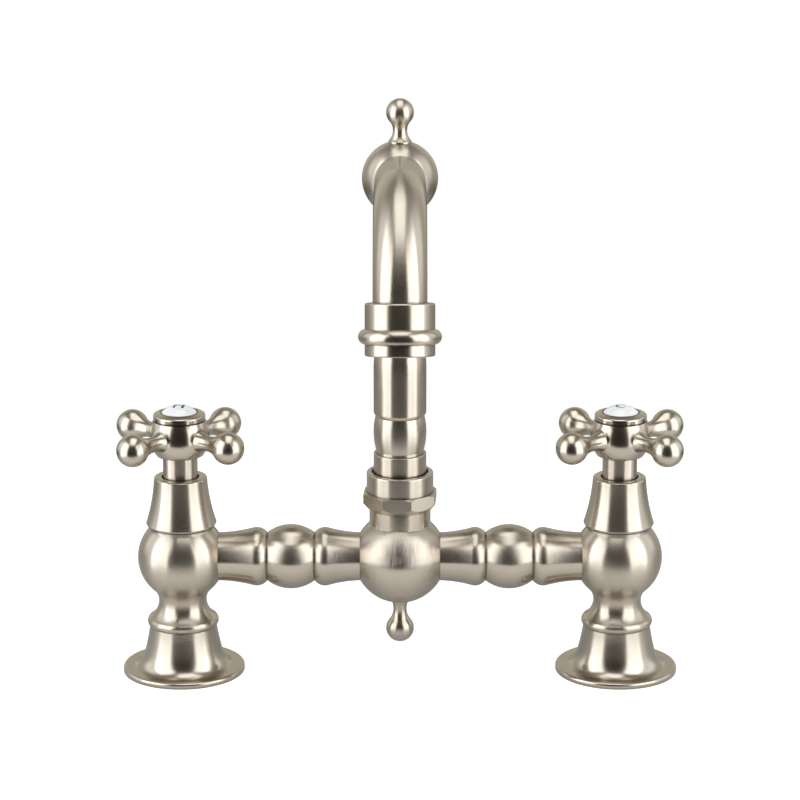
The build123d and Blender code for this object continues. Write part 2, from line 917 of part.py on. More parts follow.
def make_bead(side):
    socket_radius = nipple_radius + thread_gap
    socket_end = bead_half_width - bead_nipple_length
    with BuildPart() as bead:
        with BuildSketch(along_bridge(side * bead_station, side)):
            with BuildLine():
                ThreePointArc(
                    (-bead_half_width, groove_radius),
                    (0, bead_radius),
                    (bead_half_width, groove_radius),
                )
                Polyline(
                    (bead_half_width, groove_radius),
                    (bead_half_width, socket_radius),
                    (socket_end, socket_radius),
                    (socket_end, bore_radius),
                    (-socket_end, bore_radius),
                    (-socket_end, socket_radius),
                    (-bead_half_width, socket_radius),
                    (-bead_half_width, groove_radius),
                )
            make_face()
        revolve(axis=bridge_axis)
    return bead


for name, side in (("left", -1), ("right", 1)):
    save(make_trumpet(side, 1, valve_flat, half_spacing), f"{name}_outer_trumpet")
    save(make_bead(side), f"{name}_bridge_bead")
    save(make_trumpet(side, -1, centre_flat, 0), f"{name}_inner_trumpet")

# centre ball, with the neck that carries the spout
low_finial_flat = bridge_height - rise(centre_ball_radius, low_finial_base_radius)
neck_foot = bridge_height + rise(centre_ball_radius, centre_neck_radius)
swivel_floor = neck_top - swivel_bore_depth
ports = [make_bridge_port(0, side, centre_flat, centre_ball_radius) for side in (-1, 1)]
with BuildPart() as centre_body:
    with BuildSketch(upright(0)):
        with BuildLine():
            Line((0, low_finial_flat), (low_finial_base_radius, low_finial_flat))
            ThreePointArc(
                (low_finial_base_radius, low_finial_flat),
                (centre_ball_radius, bridge_height),
                (centre_neck_radius, neck_foot),
            )
            Polyline(
                (centre_neck_radius, neck_foot),
                (centre_neck_radius, nut_base),
                (swivel_thread_radius, nut_base),
                (swivel_thread_radius, neck_top),
                (0, neck_top),
                (0, low_finial_flat),
            )
        make_face()
    revolve(axis=vertical(0))
    with BuildSketch(upright(0)):
        with BuildLine():
            Polyline(
                (0, bridge_height - chamber_depth),
                (chamber_radius, bridge_height - chamber_depth),
                (chamber_radius, swivel_floor),
                (swivel_bore_radius, swivel_floor),
                (swivel_bore_radius, neck_top),
                (0, neck_top),
                close=True,
            )
        make_face()
    revolve(axis=vertical(0), mode=Mode.SUBTRACT)
    for port in ports:
        add(port, mode=Mode.SUBTRACT)
    with BuildSketch(Plane(origin=(0, 0, low_finial_flat))):
        Circle(finial_stud_radius + thread_gap)
    extrude(amount=finial_stud_length + tap_overrun, mode=Mode.SUBTRACT)
save(centre_body, "centre_body")

# swivel nut: an octagon with turned chamfers, and the collar whose lip holds the spout
with BuildPart() as swivel_nut:
    with BuildSketch(Plane.XY.offset(nut_base)):
        RegularPolygon(nut_corner_radius, 8, rotation=nut_clocking)
    extrude(amount=nut_band_height)
    with BuildSketch(upright(0)):
        with BuildLine():
            Polyline(
                (0, nut_base),
                (nut_lower_radius, nut_base),
                (nut_corner_radius, nut_base + nut_lower_chamfer),
                (nut_corner_radius, nut_band_top - nut_upper_chamfer),
                (nut_upper_radius, nut_band_top),
                (0, nut_band_top),
                close=True,
            )
        make_face()
    revolve(axis=vertical(0), mode=Mode.INTERSECT)
    with BuildSketch(upright(0)):
        with BuildLine():
            Polyline(
                (0, nut_band_top),
                (nut_collar_radius, nut_band_top),
                (nut_collar_radius, nut_top - nut_collar_round),
            )
            TangentArc(
                (nut_collar_radius, nut_top - nut_collar_round),
                (nut_collar_radius - nut_collar_round, nut_top),
                tangent=(0, 1),
            )
            Polyline(
                (nut_collar_radius - nut_collar_round, nut_top),
                (0, nut_top),
                (0, nut_band_top),
            )
        make_face()
    revolve(axis=vertical(0))
    with BuildSketch(upright(0)):
        with BuildLine():
            nut_thread = swivel_thread_radius + thread_gap
            Polyline(
                (0, nut_base),
                (nut_thread, nut_base),
                (nut_thread, neck_top + nut_thread_overrun),
                (nut_cavity_radius, neck_top + nut_thread_overrun),
                (nut_cavity_radius, nut_top - nut_lip_thickness),
                (nut_lip_radius, nut_top - nut_lip_thickness),
                (nut_lip_radius, nut_top),
                (0, nut_top),
                close=True,
            )
        make_face()
    revolve(axis=vertical(0), mode=Mode.SUBTRACT)
save(swivel_nut, "swivel_nut")

slip_washer = turned_ring(
    upright(0),
    vertical(0),
    swivel_bore_radius + slip_washer_play,
    slip_washer_radius,
    neck_top,
    neck_top + slip_washer_thickness,
)
save(slip_washer, "slip_washer")


def make_finial(seat, way, base_radius, rim, neck_radius, neck_height, ball_radius, ball_height):
    """A turned finial on a screwed stud. Way is 1 for one that stands up, -1 for one that hangs."""
    end_radius, end_distance = cove_end(neck_radius, ball_height - neck_height, ball_radius)
    neck = (neck_radius, way * neck_height)
    cove_top = (end_radius, way * (ball_height - end_distance))
    tip = (0, way * (ball_height + ball_radius))
    with BuildPart() as finial:
        with BuildSketch(Plane(origin=(0, 0, seat), x_dir=(1, 0, 0), z_dir=(0, -1, 0))):
            with BuildLine():
                Polyline(
                    tip,
                    (0, -way * finial_stud_length),
                    (finial_stud_radius, -way * finial_stud_length),
                    (finial_stud_radius, 0),
                    (base_radius, 0),
                    (base_radius, way * rim),
                )
                TangentArc(neck, (base_radius, way * rim), tangent=(0, -way))
                TangentArc(neck, cove_top, tangent=(0, way))
                ThreePointArc(cove_top, (ball_radius, way * ball_height), tip)
            make_face()
        revolve(axis=vertical(0))
    return finial


low_finial = make_finial(
    low_finial_flat,
    -1,
    low_finial_base_radius,
    low_finial_rim,
    low_finial_neck_radius,
    low_finial_neck_height,
    low_finial_ball_radius,
    low_finial_ball_height,
)
save(low_finial, "low_finial")

# ---------------------------------------------------------------- spout

shank_end = spout_seat - swivel_length
ring_groove = spout_seat + ring_groove_base
with BuildPart() as spout_base:
    with BuildSketch(upright(0)):
        with BuildLine():
            swivel_shank_radius = swivel_bore_radius - running_gap
            Polyline(
                (swivel_way_radius, shank_end),
                (swivel_shank_radius, shank_end),
                (swivel_shank_radius, spout_seat),
                (collar_radius, spout_seat),
                (collar_radius, ring_groove),
                (ring_groove_floor, ring_groove),
                (ring_groove_floor, ring_groove + ring_groove_width),
                (collar_radius, ring_groove + ring_groove_width),
                (collar_radius, collar_top - collar_edge),
            )
            TangentArc(
                (collar_radius, collar_top - collar_edge),
                (collar_radius - collar_edge, collar_top),
                tangent=(0, 1),
            )
            Polyline(
                (collar_radius - collar_edge, collar_top),
                (barrel_groove_radius, collar_top),
                (barrel_groove_radius, barrel_base),
            )
            ThreePointArc(
                (barrel_groove_radius, barrel_base),
                (barrel_radius, (barrel_base + riser_base) / 2),
                (barrel_groove_radius, riser_base),
            )
            Polyline(
                (barrel_groove_radius, riser_base),
                (base_spigot_radius, riser_base),
                (base_spigot_radius, riser_base + base_spigot_length),
                (swivel_way_radius, riser_base + base_spigot_length),
                (swivel_way_radius, shank_end),
            )
        make_face()
    revolve(axis=vertical(0))
    for height in seal_groove_heights:
        with BuildSketch(Plane.XY.offset(shank_end + height - seal_groove_width / 2)):
            Circle(swivel_bore_radius)
            Circle(seal_groove_floor, mode=Mode.SUBTRACT)
        extrude(amount=seal_groove_width, mode=Mode.SUBTRACT)
save(spout_base, "spout_base")

with BuildPart() as spout_seals:
    for height in seal_groove_heights:
        with BuildSketch(upright(0)):
            with Locations((seal_groove_floor + seal_lift + seal_section, shank_end + height)):
                Circle(seal_section)
        revolve(axis=vertical(0))
save(spout_seals, "spout_seals")

with BuildPart() as retaining_ring:
    with BuildSketch(Plane.XY.offset(ring_groove + (ring_groove_width - retainer_thickness) / 2)):
        Circle(retainer_radius)
        Circle(ring_groove_floor + thread_gap, mode=Mode.SUBTRACT)
        with Locations((0, retainer_radius)):
            Rectangle(retainer_split, retainer_radius, mode=Mode.SUBTRACT)
    extrude(amount=retainer_thickness)
save(retaining_ring, "retaining_ring")

with BuildPart() as riser:
    with BuildSketch(upright(0)):
        with BuildLine():
            tube_bore = base_spigot_radius + thread_gap
            cap_base = riser_top - riser_cap
            nipple_top = riser_top + ball_nipple_length
            TangentArc(
                (riser_radius, riser_base + riser_round),
                (barrel_groove_radius, riser_base),
                tangent=(0, -1),
            )
            Line((riser_radius, riser_base + riser_round), (riser_radius, riser_shoulder))
            shoulder = TangentArc(
                (riser_radius, riser_shoulder),
                (riser_stem_radius, riser_shoulder + riser_shoulder_length),
                tangent=(0, 1),
            )
            Polyline(
                shoulder @ 1,
                (riser_stem_radius, riser_top),
                (nipple_radius, riser_top),
                (nipple_radius, nipple_top),
                (crown_way_radius, nipple_top),
                (crown_way_radius, cap_base),
                (tube_bore, cap_base),
                (tube_bore, riser_base),
                (barrel_groove_radius, riser_base),
            )
        make_face()
    revolve(axis=vertical(0))
save(riser, "spout_riser")

# the spout's centreline: out of the ball at a slight rise, then one bend down
tube_flat = rise(crown_radius, tube_radius)
rise_angle = radians(tube_rise)
lean_angle = radians(outlet_lean)
tube_way = Vector(0, -cos(rise_angle), sin(rise_angle))
outlet_way = Vector(0, -sin(lean_angle), -cos(lean_angle))
crown = Vector(0, 0, crown_height)
tube_start = crown + tube_way * tube_flat
bend_start = crown + tube_way * tube_straight
bend_centre = bend_start + Vector(0, -sin(rise_angle), -cos(rise_angle)) * tube_bend_radius
bend_end = bend_centre + Vector(0, -cos(lean_angle), sin(lean_angle)) * tube_bend_radius
outlet_top = bend_end + outlet_way * tube_drop
tube_end = outlet_top + outlet_way * outlet_socket_depth

# planes for outlines turned about the tube's first run and about the outlet's axis:
# local x is the radius, local y the distance along the axis
tube_plane = Plane(origin=crown, x_dir=(1, 0, 0), z_dir=(0, -tube_way.Z, tube_way.Y))
tube_axis = Axis(crown, tube_way)
outlet_plane = Plane(origin=outlet_top, x_dir=(1, 0, 0), z_dir=(0, -outlet_way.Z, outlet_way.Y))
outlet_axis = Axis(outlet_top, outlet_way)

top_finial_flat = crown_height + rise(crown_radius, top_finial_base_radius)
with BuildPart() as spout_ball:
    with BuildSketch(upright(0)):
        with BuildLine():
            Line((0, riser_top), (riser_stem_radius, riser_top))
            ThreePointArc(
                (riser_stem_radius, riser_top),
                (crown_radius, crown_height),
                (top_finial_base_radius, top_finial_flat),
            )
            Line((top_finial_base_radius, top_finial_flat), (0, top_finial_flat))
            Line((0, top_finial_flat), (0, riser_top))
        make_face()
    revolve(axis=vertical(0))
    socket_radius = nipple_radius + thread_gap
    with BuildSketch(upright(0)):
        with BuildLine():
            Polyline(
                (0, riser_top),
                (socket_radius, riser_top),
                (socket_radius, riser_top + ball_nipple_length),
                (crown_way_radius, riser_top + ball_nipple_length),
                (crown_way_radius, crown_height),
                (0, crown_height + crown_way_radius),
                close=True,
            )
        make_face()
    revolve(axis=vertical(0), mode=Mode.SUBTRACT)
    with BuildSketch(tube_plane):
        with BuildLine():
            Polyline(
                (0, 0),
                (crown_way_radius, 0),
                (crown_way_radius, tube_flat - ball_nipple_length),
                (socket_radius, tube_flat - ball_nipple_length),
                (socket_radius, tube_flat),
                (crown_radius, tube_flat),
                (crown_radius, crown_radius),
                (0, crown_radius),
                close=True,
            )
        make_face()
    revolve(axis=tube_axis, mode=Mode.SUBTRACT)
    with BuildSketch(Plane.XY.offset(top_finial_flat)):
        Circle(finial_stud_radius + thread_gap)
    extrude(amount=-finial_stud_length - tap_overrun, mode=Mode.SUBTRACT)
save(spout_ball, "spout_ball")

top_finial = make_finial(
    top_finial_flat,
    1,
    top_finial_base_radius,
    top_finial_rim,
    top_finial_neck_radius,
    top_finial_neck_height,
    top_finial_ball_radius,
    top_finial_ball_height,
)
save(top_finial, "top_finial")

tube_bore = tube_radius - tube_wall
with BuildPart() as spout_tube:
    with BuildLine() as centreline:
        Line(tube_start, bend_start)
        TangentArc(bend_start, bend_end, tangent=tube_way)
        Line(bend_end, tube_end)
    with BuildSketch(Plane(origin=tube_start, x_dir=(1, 0, 0), z_dir=tube_way)):
        Circle(tube_radius)
        Circle(tube_bore, mode=Mode.SUBTRACT)
    sweep(path=centreline.line)
    # the turned end that screws into the ball
    with BuildSketch(tube_plane):
        with BuildLine():
            Polyline(
                (crown_way_radius, tube_flat - ball_nipple_length),
                (nipple_radius, tube_flat - ball_nipple_length),
                (nipple_radius, tube_flat),
                (tube_radius, tube_flat),
                (tube_radius, tube_flat + riser_cap),
                (crown_way_radius, tube_flat + riser_cap),
                close=True,
            )
        make_face()
    revolve(axis=tube_axis)
save(spout_tube, "spout_tube")

aerator_top = outlet_socket_depth + outlet_web
aerator_bore = aerator_thread_radius + thread_gap
bead_half = outlet_bead_height / 2
with BuildPart() as outlet_housing:
    with BuildSketch(outlet_plane):
        with BuildLine():
            tube_seat = tube_radius + thread_gap
            Line((tube_seat, 0), (outlet_radius - outlet_round, 0))
            TangentArc(
                (outlet_radius - outlet_round, 0), (outlet_radius, outlet_round), tangent=(1, 0)
            )
            Line((outlet_radius, outlet_round), (outlet_radius, outlet_bead_station - bead_half))
            ThreePointArc(
                (outlet_radius, outlet_bead_station - bead_half),
                (outlet_bead_radius, outlet_bead_station),
                (outlet_radius, outlet_bead_station + bead_half),
            )
            Line(
                (outlet_radius, outlet_bead_station + bead_half),
                (outlet_radius, outlet_length - outlet_round),
            )
            TangentArc(
                (outlet_radius, outlet_length - outlet_round),
                (outlet_radius - outlet_round, outlet_length),
                tangent=(0, 1),
            )
            Polyline(
                (outlet_radius - outlet_round, outlet_length),
                (aerator_bore, outlet_length),
                (aerator_bore, aerator_top),
                (outlet_web_bore, aerator_top),
                (outlet_web_bore, outlet_socket_depth),
                (tube_seat, outlet_socket_depth),
                (tube_seat, 0),
            )
        make_face()
    revolve(axis=outlet_axis)
save(outlet_housing, "outlet_housing")

shell_top = aerator_top + aerator_washer_thickness
shell_end = outlet_length - aerator_recess
shell_bore = aerator_thread_radius - aerator_wall
screen_top = shell_end - screen_recess
aerator_washer = turned_ring(
    outlet_plane, outlet_axis, outlet_web_bore, aerator_thread_radius, aerator_top, shell_top
)
save(aerator_washer, "aerator_washer")

with BuildPart() as aerator_shell:
    with BuildSketch(outlet_plane):
        with BuildLine():
            Polyline(
                (shell_bore, shell_top),
                (aerator_thread_radius, shell_top),
                (aerator_thread_radius, shell_end),
                (shell_bore, shell_end),
                (shell_bore, screen_top + screen_thickness),
                (shell_bore + screen_seat_depth, screen_top + screen_thickness),
                (shell_bore + screen_seat_depth, screen_top),
                (shell_bore, screen_top),
                close=True,
            )
        make_face()
    revolve(axis=outlet_axis)
save(aerator_shell, "aerator_shell")

with BuildPart() as aerator_screen:
    screen_origin = outlet_top + outlet_way * screen_top
    with BuildSketch(Plane(origin=screen_origin, x_dir=(1, 0, 0), z_dir=outlet_way)):
        Circle(shell_bore + screen_seat_depth - thread_gap)
        with HexLocations(screen_hole_pitch / 2, screen_hole_rows, screen_hole_rows) as holes:
            spots = [p for p in holes.local_locations if p.position.length < shell_bore - screen_rim]
        with Locations(*spots):
            Circle(screen_hole_radius, mode=Mode.SUBTRACT)
    extrude(amount=screen_thickness)
save(aerator_screen, "aerator_screen")
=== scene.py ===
# %% [markdown]
# # A bridge kitchen faucet in satin nickel
#
# The faucet arrives as a finished model: turned valve bodies, a bridge of trumpets and
# beads, cross handles and a swivelling spout, each piece in its own place. These cells
# give it what a drawing can't: the brushed metal, the threads, the enamelled letters
# and the light of a product studio. Nothing that arrives is moved or resized.

import json
from math import cos, degrees, pi, radians, sin, sqrt

import bmesh
import bpy
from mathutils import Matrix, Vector


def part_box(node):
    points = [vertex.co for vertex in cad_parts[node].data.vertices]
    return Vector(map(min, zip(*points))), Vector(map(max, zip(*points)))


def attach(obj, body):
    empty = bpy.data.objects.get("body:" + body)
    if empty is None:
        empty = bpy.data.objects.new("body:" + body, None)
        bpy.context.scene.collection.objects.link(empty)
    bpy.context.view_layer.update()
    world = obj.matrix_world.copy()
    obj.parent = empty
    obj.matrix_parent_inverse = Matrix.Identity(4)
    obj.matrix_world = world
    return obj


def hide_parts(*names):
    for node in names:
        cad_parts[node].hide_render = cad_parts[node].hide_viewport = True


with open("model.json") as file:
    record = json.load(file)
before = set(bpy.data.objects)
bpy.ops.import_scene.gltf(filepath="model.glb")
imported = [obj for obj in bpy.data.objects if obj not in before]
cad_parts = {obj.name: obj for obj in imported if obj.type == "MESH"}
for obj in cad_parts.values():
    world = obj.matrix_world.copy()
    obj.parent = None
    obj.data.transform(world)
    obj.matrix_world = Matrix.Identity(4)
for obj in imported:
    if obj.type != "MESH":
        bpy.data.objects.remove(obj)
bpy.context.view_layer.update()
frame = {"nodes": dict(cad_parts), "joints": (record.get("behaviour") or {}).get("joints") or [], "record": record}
nodes = frame["nodes"]
MM = 0.001

# %% [markdown]
# ## Where the handles, the bridge and the spout turn
#
# A brushed finish follows the lathe: its fine lines run round each piece's own axis.
# So the axes come first. They are read from the joints and from the boxes of pieces
# that are round about them, never typed in twice.

# %% Axes of the turned pieces
VALVES = ("hot", "cold")
ACROSS, BACK, UP = Vector((1, 0, 0)), Vector((0, 1, 0)), Vector((0, 0, 1))
joints = {joint["name"]: joint for joint in frame["joints"]}


def middle(node):
    """The centre of a node's box."""
    low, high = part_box(node)
    return (low + high) / 2


valve_axis = {v: Vector((joints[f"{v}_handle_turn"]["pos_m"][0], 0, 0)) for v in VALVES}
arm_height = joints["hot_handle_turn"]["pos_m"][2]
bridge_middle = Vector((0, 0, middle("left_bridge_bead").z))
print("valves at", {v: round(p.x / MM, 2) for v, p in valve_axis.items()})
print("bridge at", round(bridge_middle.z / MM, 2), "and arms at", round(arm_height / MM, 2))

# %% [markdown]
# ## The camera
#
# A long lens from a little above flattens the faucet the way a catalogue does. The
# tilt shows the flanges as thin ellipses, and the lens is the one that makes both the
# near outlet and the far valves come out at the width they have in the photograph.

# %% Camera
CAMERA_TILT = radians(15.3)
CAMERA_DISTANCE = 1.3556
CAMERA_AIM = Vector((0, 0, 0.131))
CAMERA_LENS, SENSOR_WIDTH = 132.75, 36  # both in millimetres

camera = bpy.data.objects.new("camera", bpy.data.cameras.new("camera"))
camera.data.sensor_width = SENSOR_WIDTH
camera.data.lens = CAMERA_LENS
from_aim = Vector((0, -cos(CAMERA_TILT), sin(CAMERA_TILT)))
camera.location = CAMERA_AIM + CAMERA_DISTANCE * from_aim
camera.rotation_euler = (pi / 2 - CAMERA_TILT, 0, 0)
bpy.context.scene.collection.objects.link(camera)
bpy.context.scene.camera = camera
bpy.context.scene.view_settings.view_transform = "Standard"
print("camera at", [round(c, 4) for c in camera.location])

# %% [markdown]
# ## Writing a finish as a sum
#
# A node tree is a formula drawn as boxes. It is easier to read as a formula, so one
# small class wraps a number that leaves a node and lets it be added, multiplied and
# divided: each sign adds its Math node. Every other node comes from one method, which
# takes the node's type, its settings and what its sockets hold.


# %% A number in a node tree
class Number:
    """An output socket that can stand in a sum."""

    def __init__(self, tree, socket):
        self.tree = tree
        self.socket = socket

    def __add__(self, other):
        return self.tree.math("ADD", self, other)

    def __sub__(self, other):
        return self.tree.math("SUBTRACT", self, other)

    def __rsub__(self, other):
        return self.tree.math("SUBTRACT", other, self)

    def __mul__(self, other):
        return self.tree.math("MULTIPLY", self, other)

    def __truediv__(self, other):
        return self.tree.math("DIVIDE", self, other)

    __radd__ = __add__
    __rmul__ = __mul__


# %% A tree that grows one node at a time
class Tree:
    """A shader or geometry tree, with one method that adds any node."""

    def __init__(self, tree):
        self.tree = tree
        tree.nodes.clear()

    def node(self, kind, settings=None, sockets=None, output=0):
        made = self.tree.nodes.new(kind)
        for name, value in (settings or {}).items():
            setattr(made, name, value)
        for name, value in (sockets or {}).items():
            if isinstance(value, Number):
                self.tree.links.new(value.socket, made.inputs[name])
            else:
                made.inputs[name].default_value = value
        return Number(self, made.outputs[output]) if len(made.outputs) else made

    def math(self, operation, first, second=0.0, clamp=False):
        settings = {"operation": operation, "use_clamp": clamp}
        return self.node("ShaderNodeMath", settings, {0: first, 1: second})

    def vector(self, operation, first, second=(0, 0, 0), output=0):
        sockets = {0: first, 1: second}
        return self.node("ShaderNodeVectorMath", {"operation": operation}, sockets, output)

    def dot(self, first, second):
        return self.vector("DOT_PRODUCT", first, second, "Value")

    def scaled(self, vector, amount):
        sockets = {0: vector, "Scale": amount}
        return self.node("ShaderNodeVectorMath", {"operation": "SCALE"}, sockets)

    def mix(self, factor, first, second):
        """The first colour where the factor is 0, and the second where it is 1."""
        sockets = {"Factor": factor, "A": first, "B": second}
        return self.node("ShaderNodeMix", {"data_type": "RGBA"}, sockets, output=2)

    def step(self, value, start, end):
        """0 up to the start, 1 from the end on, and a soft step between."""
        sockets = {"Value": value, "From Min": start, "From Max": end}
        return self.node("ShaderNodeMapRange", {"interpolation_type": "SMOOTHSTEP"}, sockets)

    def band(self, value, rise, fall):
        """A soft step up over one range and down again over another."""
        return self.step(value, *rise) * (1 - self.step(value, *fall))


# %% [markdown]
# ## Brushed nickel
#
# Satin nickel is polished, then brushed on the lathe with a soft abrasive. The lines
# are finer than a pixel, so the eye doesn't see them. It sees reflections smeared at
# right angles to them: long upright stripes on a column, level ones on the bridge,
# which is turned about a level line.
#
# Two things make that smear here. The shader's anisotropy does most of it, without any
# grain, but it has one strength and one direction for a whole piece. The lines
# themselves do the rest: a noise, drawn out round the piece's axis, leans the normal to
# and fro along the piece. Each kind of piece has a function for that. It says how far
# along its axis a point is, how far out and how far round, and which way a line there
# leans the surface.


# %% Lines that run round an axis
def place_from(finish, origin):
    """Where a point of the piece is, seen from the origin given."""
    place = finish.node("ShaderNodeTexCoord", output="Object")
    return finish.vector("SUBTRACT", place, tuple(origin))


def along_surface(finish, axis, place):
    """The way along the surface that is square to the lines round an axis."""
    normal = finish.node("ShaderNodeTexCoord", output="Normal")
    around = finish.vector("NORMALIZE", finish.vector("CROSS_PRODUCT", axis, place))
    return finish.vector("CROSS_PRODUCT", normal, around)


def lathe_lines(finish, origin, axis):
    """Height, radius, angle and lean, for a piece turned about one straight axis."""
    side = axis.orthogonal().normalized()
    other = axis.cross(side)
    place = place_from(finish, origin)
    x, y = finish.dot(place, tuple(side)), finish.dot(place, tuple(other))
    height = finish.dot(place, tuple(axis))
    radius = finish.math("SQRT", x * x + y * y)
    angle = finish.math("ARCTAN2", y, x)
    return height, radius, angle, along_surface(finish, tuple(axis), place)


# %% [markdown]
# The four arms of a handle are one piece, each arm turned about its own line from the
# hub outwards. Rounding the angle round the handle to the nearest arm gives every
# point the axis of the arm that it is on.


# %% Lines that run round the arms
def arm_lines(finish, origin, first_arm):
    """As lathe_lines, for four arms round a hub, the first at the given angle."""
    quarter = pi / 2
    place = place_from(finish, origin)
    x, y, z = (finish.dot(place, tuple(way)) for way in (ACROSS, BACK, UP))
    turn = finish.math("ARCTAN2", y, x)
    arm = finish.math("ROUND", (turn - first_arm) / quarter) * quarter + first_arm
    cosine, sine = finish.math("COSINE", arm), finish.math("SINE", arm)
    axis = finish.node("ShaderNodeCombineXYZ", {}, {"X": cosine, "Y": sine})
    height = x * cosine + y * sine
    sideways = y * cosine - x * sine
    radius = finish.math("SQRT", sideways * sideways + z * z)
    angle = finish.math("ARCTAN2", z, sideways)
    return height, radius, angle, along_surface(finish, axis, place)


# %% [markdown]
# The spout's tube is brushed round its bent centreline. On a bend the tube's axis at
# any point is square to the line back to the bend's centre, so one rule serves the
# whole tube. Its surface is everywhere as far from that centreline, so its radius
# says nothing and is left at 0.


# %% Lines that run round the bent tube
def tube_lines(finish, centre, bend_radius):
    """As lathe_lines, for a tube bent about a line across the faucet."""
    place = place_from(finish, centre)
    x, y, z = (finish.dot(place, tuple(way)) for way in (ACROSS, BACK, UP))
    spoke = finish.math("SQRT", y * y + z * z)
    height = finish.math("ARCTAN2", z, y) * bend_radius
    angle = finish.math("ARCTAN2", x, spoke - bend_radius)
    along = finish.vector("NORMALIZE", finish.vector("CROSS_PRODUCT", tuple(ACROSS), place))
    return height, 0.0, angle, along


# %% [markdown]
# The centre body is one piece of two kinds: a ball brushed about the bridge's line, and
# a plain neck above it, where lines about that axis would run the wrong way. So they
# fade out just below the neck's foot.


# %% Lines on the ball alone
NECK_FADE = 0.5 * MM


def ball_lines(finish, origin, axis, neck_foot):
    """As lathe_lines, up to the height at which a neck begins."""
    height, radius, angle, along = lathe_lines(finish, origin, axis)
    level = finish.dot(finish.node("ShaderNodeTexCoord", output="Object"), tuple(UP))
    below = 1 - finish.step(level, neck_foot - NECK_FADE, neck_foot)
    return height, radius, angle, finish.scaled(along, below)


# %% [markdown]
# ## What the metal does at edges and seams
#
# A buffing wheel rounds every edge a little, and a thin bright line then runs along
# it. The model's edges are sharp, and rounding them all would make many more faces, so
# a Bevel node turns the normal near them instead.
#
# Where two pieces meet, the metal is painted darker: painted shade for the shadow that
# falls there, and buffing compound. An Ambient Occlusion node finds such corners. Some
# pieces meet flush, with no corner to find, so a thin line of painted shadow is drawn
# there, at a given height along the axis or at a given radius about it.

# %% Edges and seams
EDGE_EASE = 0.25 * MM
SEAM_REACH = 2.0 * MM  # how near the other piece is, where the metal darkens
CORNER, OPEN = 0.35, 0.8  # how open the surface is, where the painted shade is full and where it ends
LINE_CORE, LINE_EDGE = 0.2 * MM, 0.5 * MM
EDGE_SAMPLES, SEAM_SAMPLES = 4, 6


def eased_normal(finish, lean):
    """The normal, rounded at edges and leant by the brush's lines."""
    lean = finish.node(
        "ShaderNodeVectorTransform",
        {"vector_type": "VECTOR", "convert_from": "OBJECT", "convert_to": "WORLD"},
        {"Vector": lean},
    )
    eased = finish.node("ShaderNodeBevel", {"samples": EDGE_SAMPLES}, {"Radius": EDGE_EASE})
    return finish.vector("NORMALIZE", finish.vector("ADD", eased, lean))


def free_of_compound_and_shade(finish, offsets):
    """1 on open metal, and 0, which gives full painted shade, in corners and where one of the offsets is 0."""
    samples, reach = {"samples": SEAM_SAMPLES}, {"Distance": SEAM_REACH}
    openness = finish.node("ShaderNodeAmbientOcclusion", samples, reach, "AO")
    undarkened = finish.step(openness, CORNER, OPEN)
    for offset in offsets:
        undarkened = undarkened * finish.step(finish.math("ABSOLUTE", offset), LINE_CORE, LINE_EDGE)
    return undarkened


print("edges eased by", EDGE_EASE / MM, "mm")

# %% [markdown]
# The metal itself is pale and a little yellow. Its roughness wanders slightly, as hand
# finishing leaves it, and faint broad patches keep large balls from looking printed.

# %% The nickel's colour
NICKEL = (0.525, 0.462, 0.375)
# The second share darkens seams and corners: painted shade, with some buffing compound.
PATCH_SHADE, SEAM_COMPOUND_AND_SHADE = 0.93, 0.1  # of the metal's own brightness
PATCHES_PER_METRE = 90.0
PATCH_ROUGHNESS = 0.08


def shade(colour, share=1.0):
    """A colour at a share of its brightness, with the alpha that sockets expect."""
    return tuple(share * c for c in colour) + (1,)


print("nickel", shade(NICKEL), "and in seams", shade(NICKEL, SEAM_COMPOUND_AND_SHADE))

# %% [markdown]
# One function makes every brushed finish from what has been set out: the lines, the
# eased edges, the dark seams and the patches. What it is given says how smooth the
# metal is, how far its reflections are smeared, and which way.

# %% The brushed finish
LINE_BREAKS = 3.0  # how often a line breaks off, going round by a radian


def start_material(name):
    material = bpy.data.materials.new(name)
    material.use_nodes = True
    return material, Tree(material.node_tree)


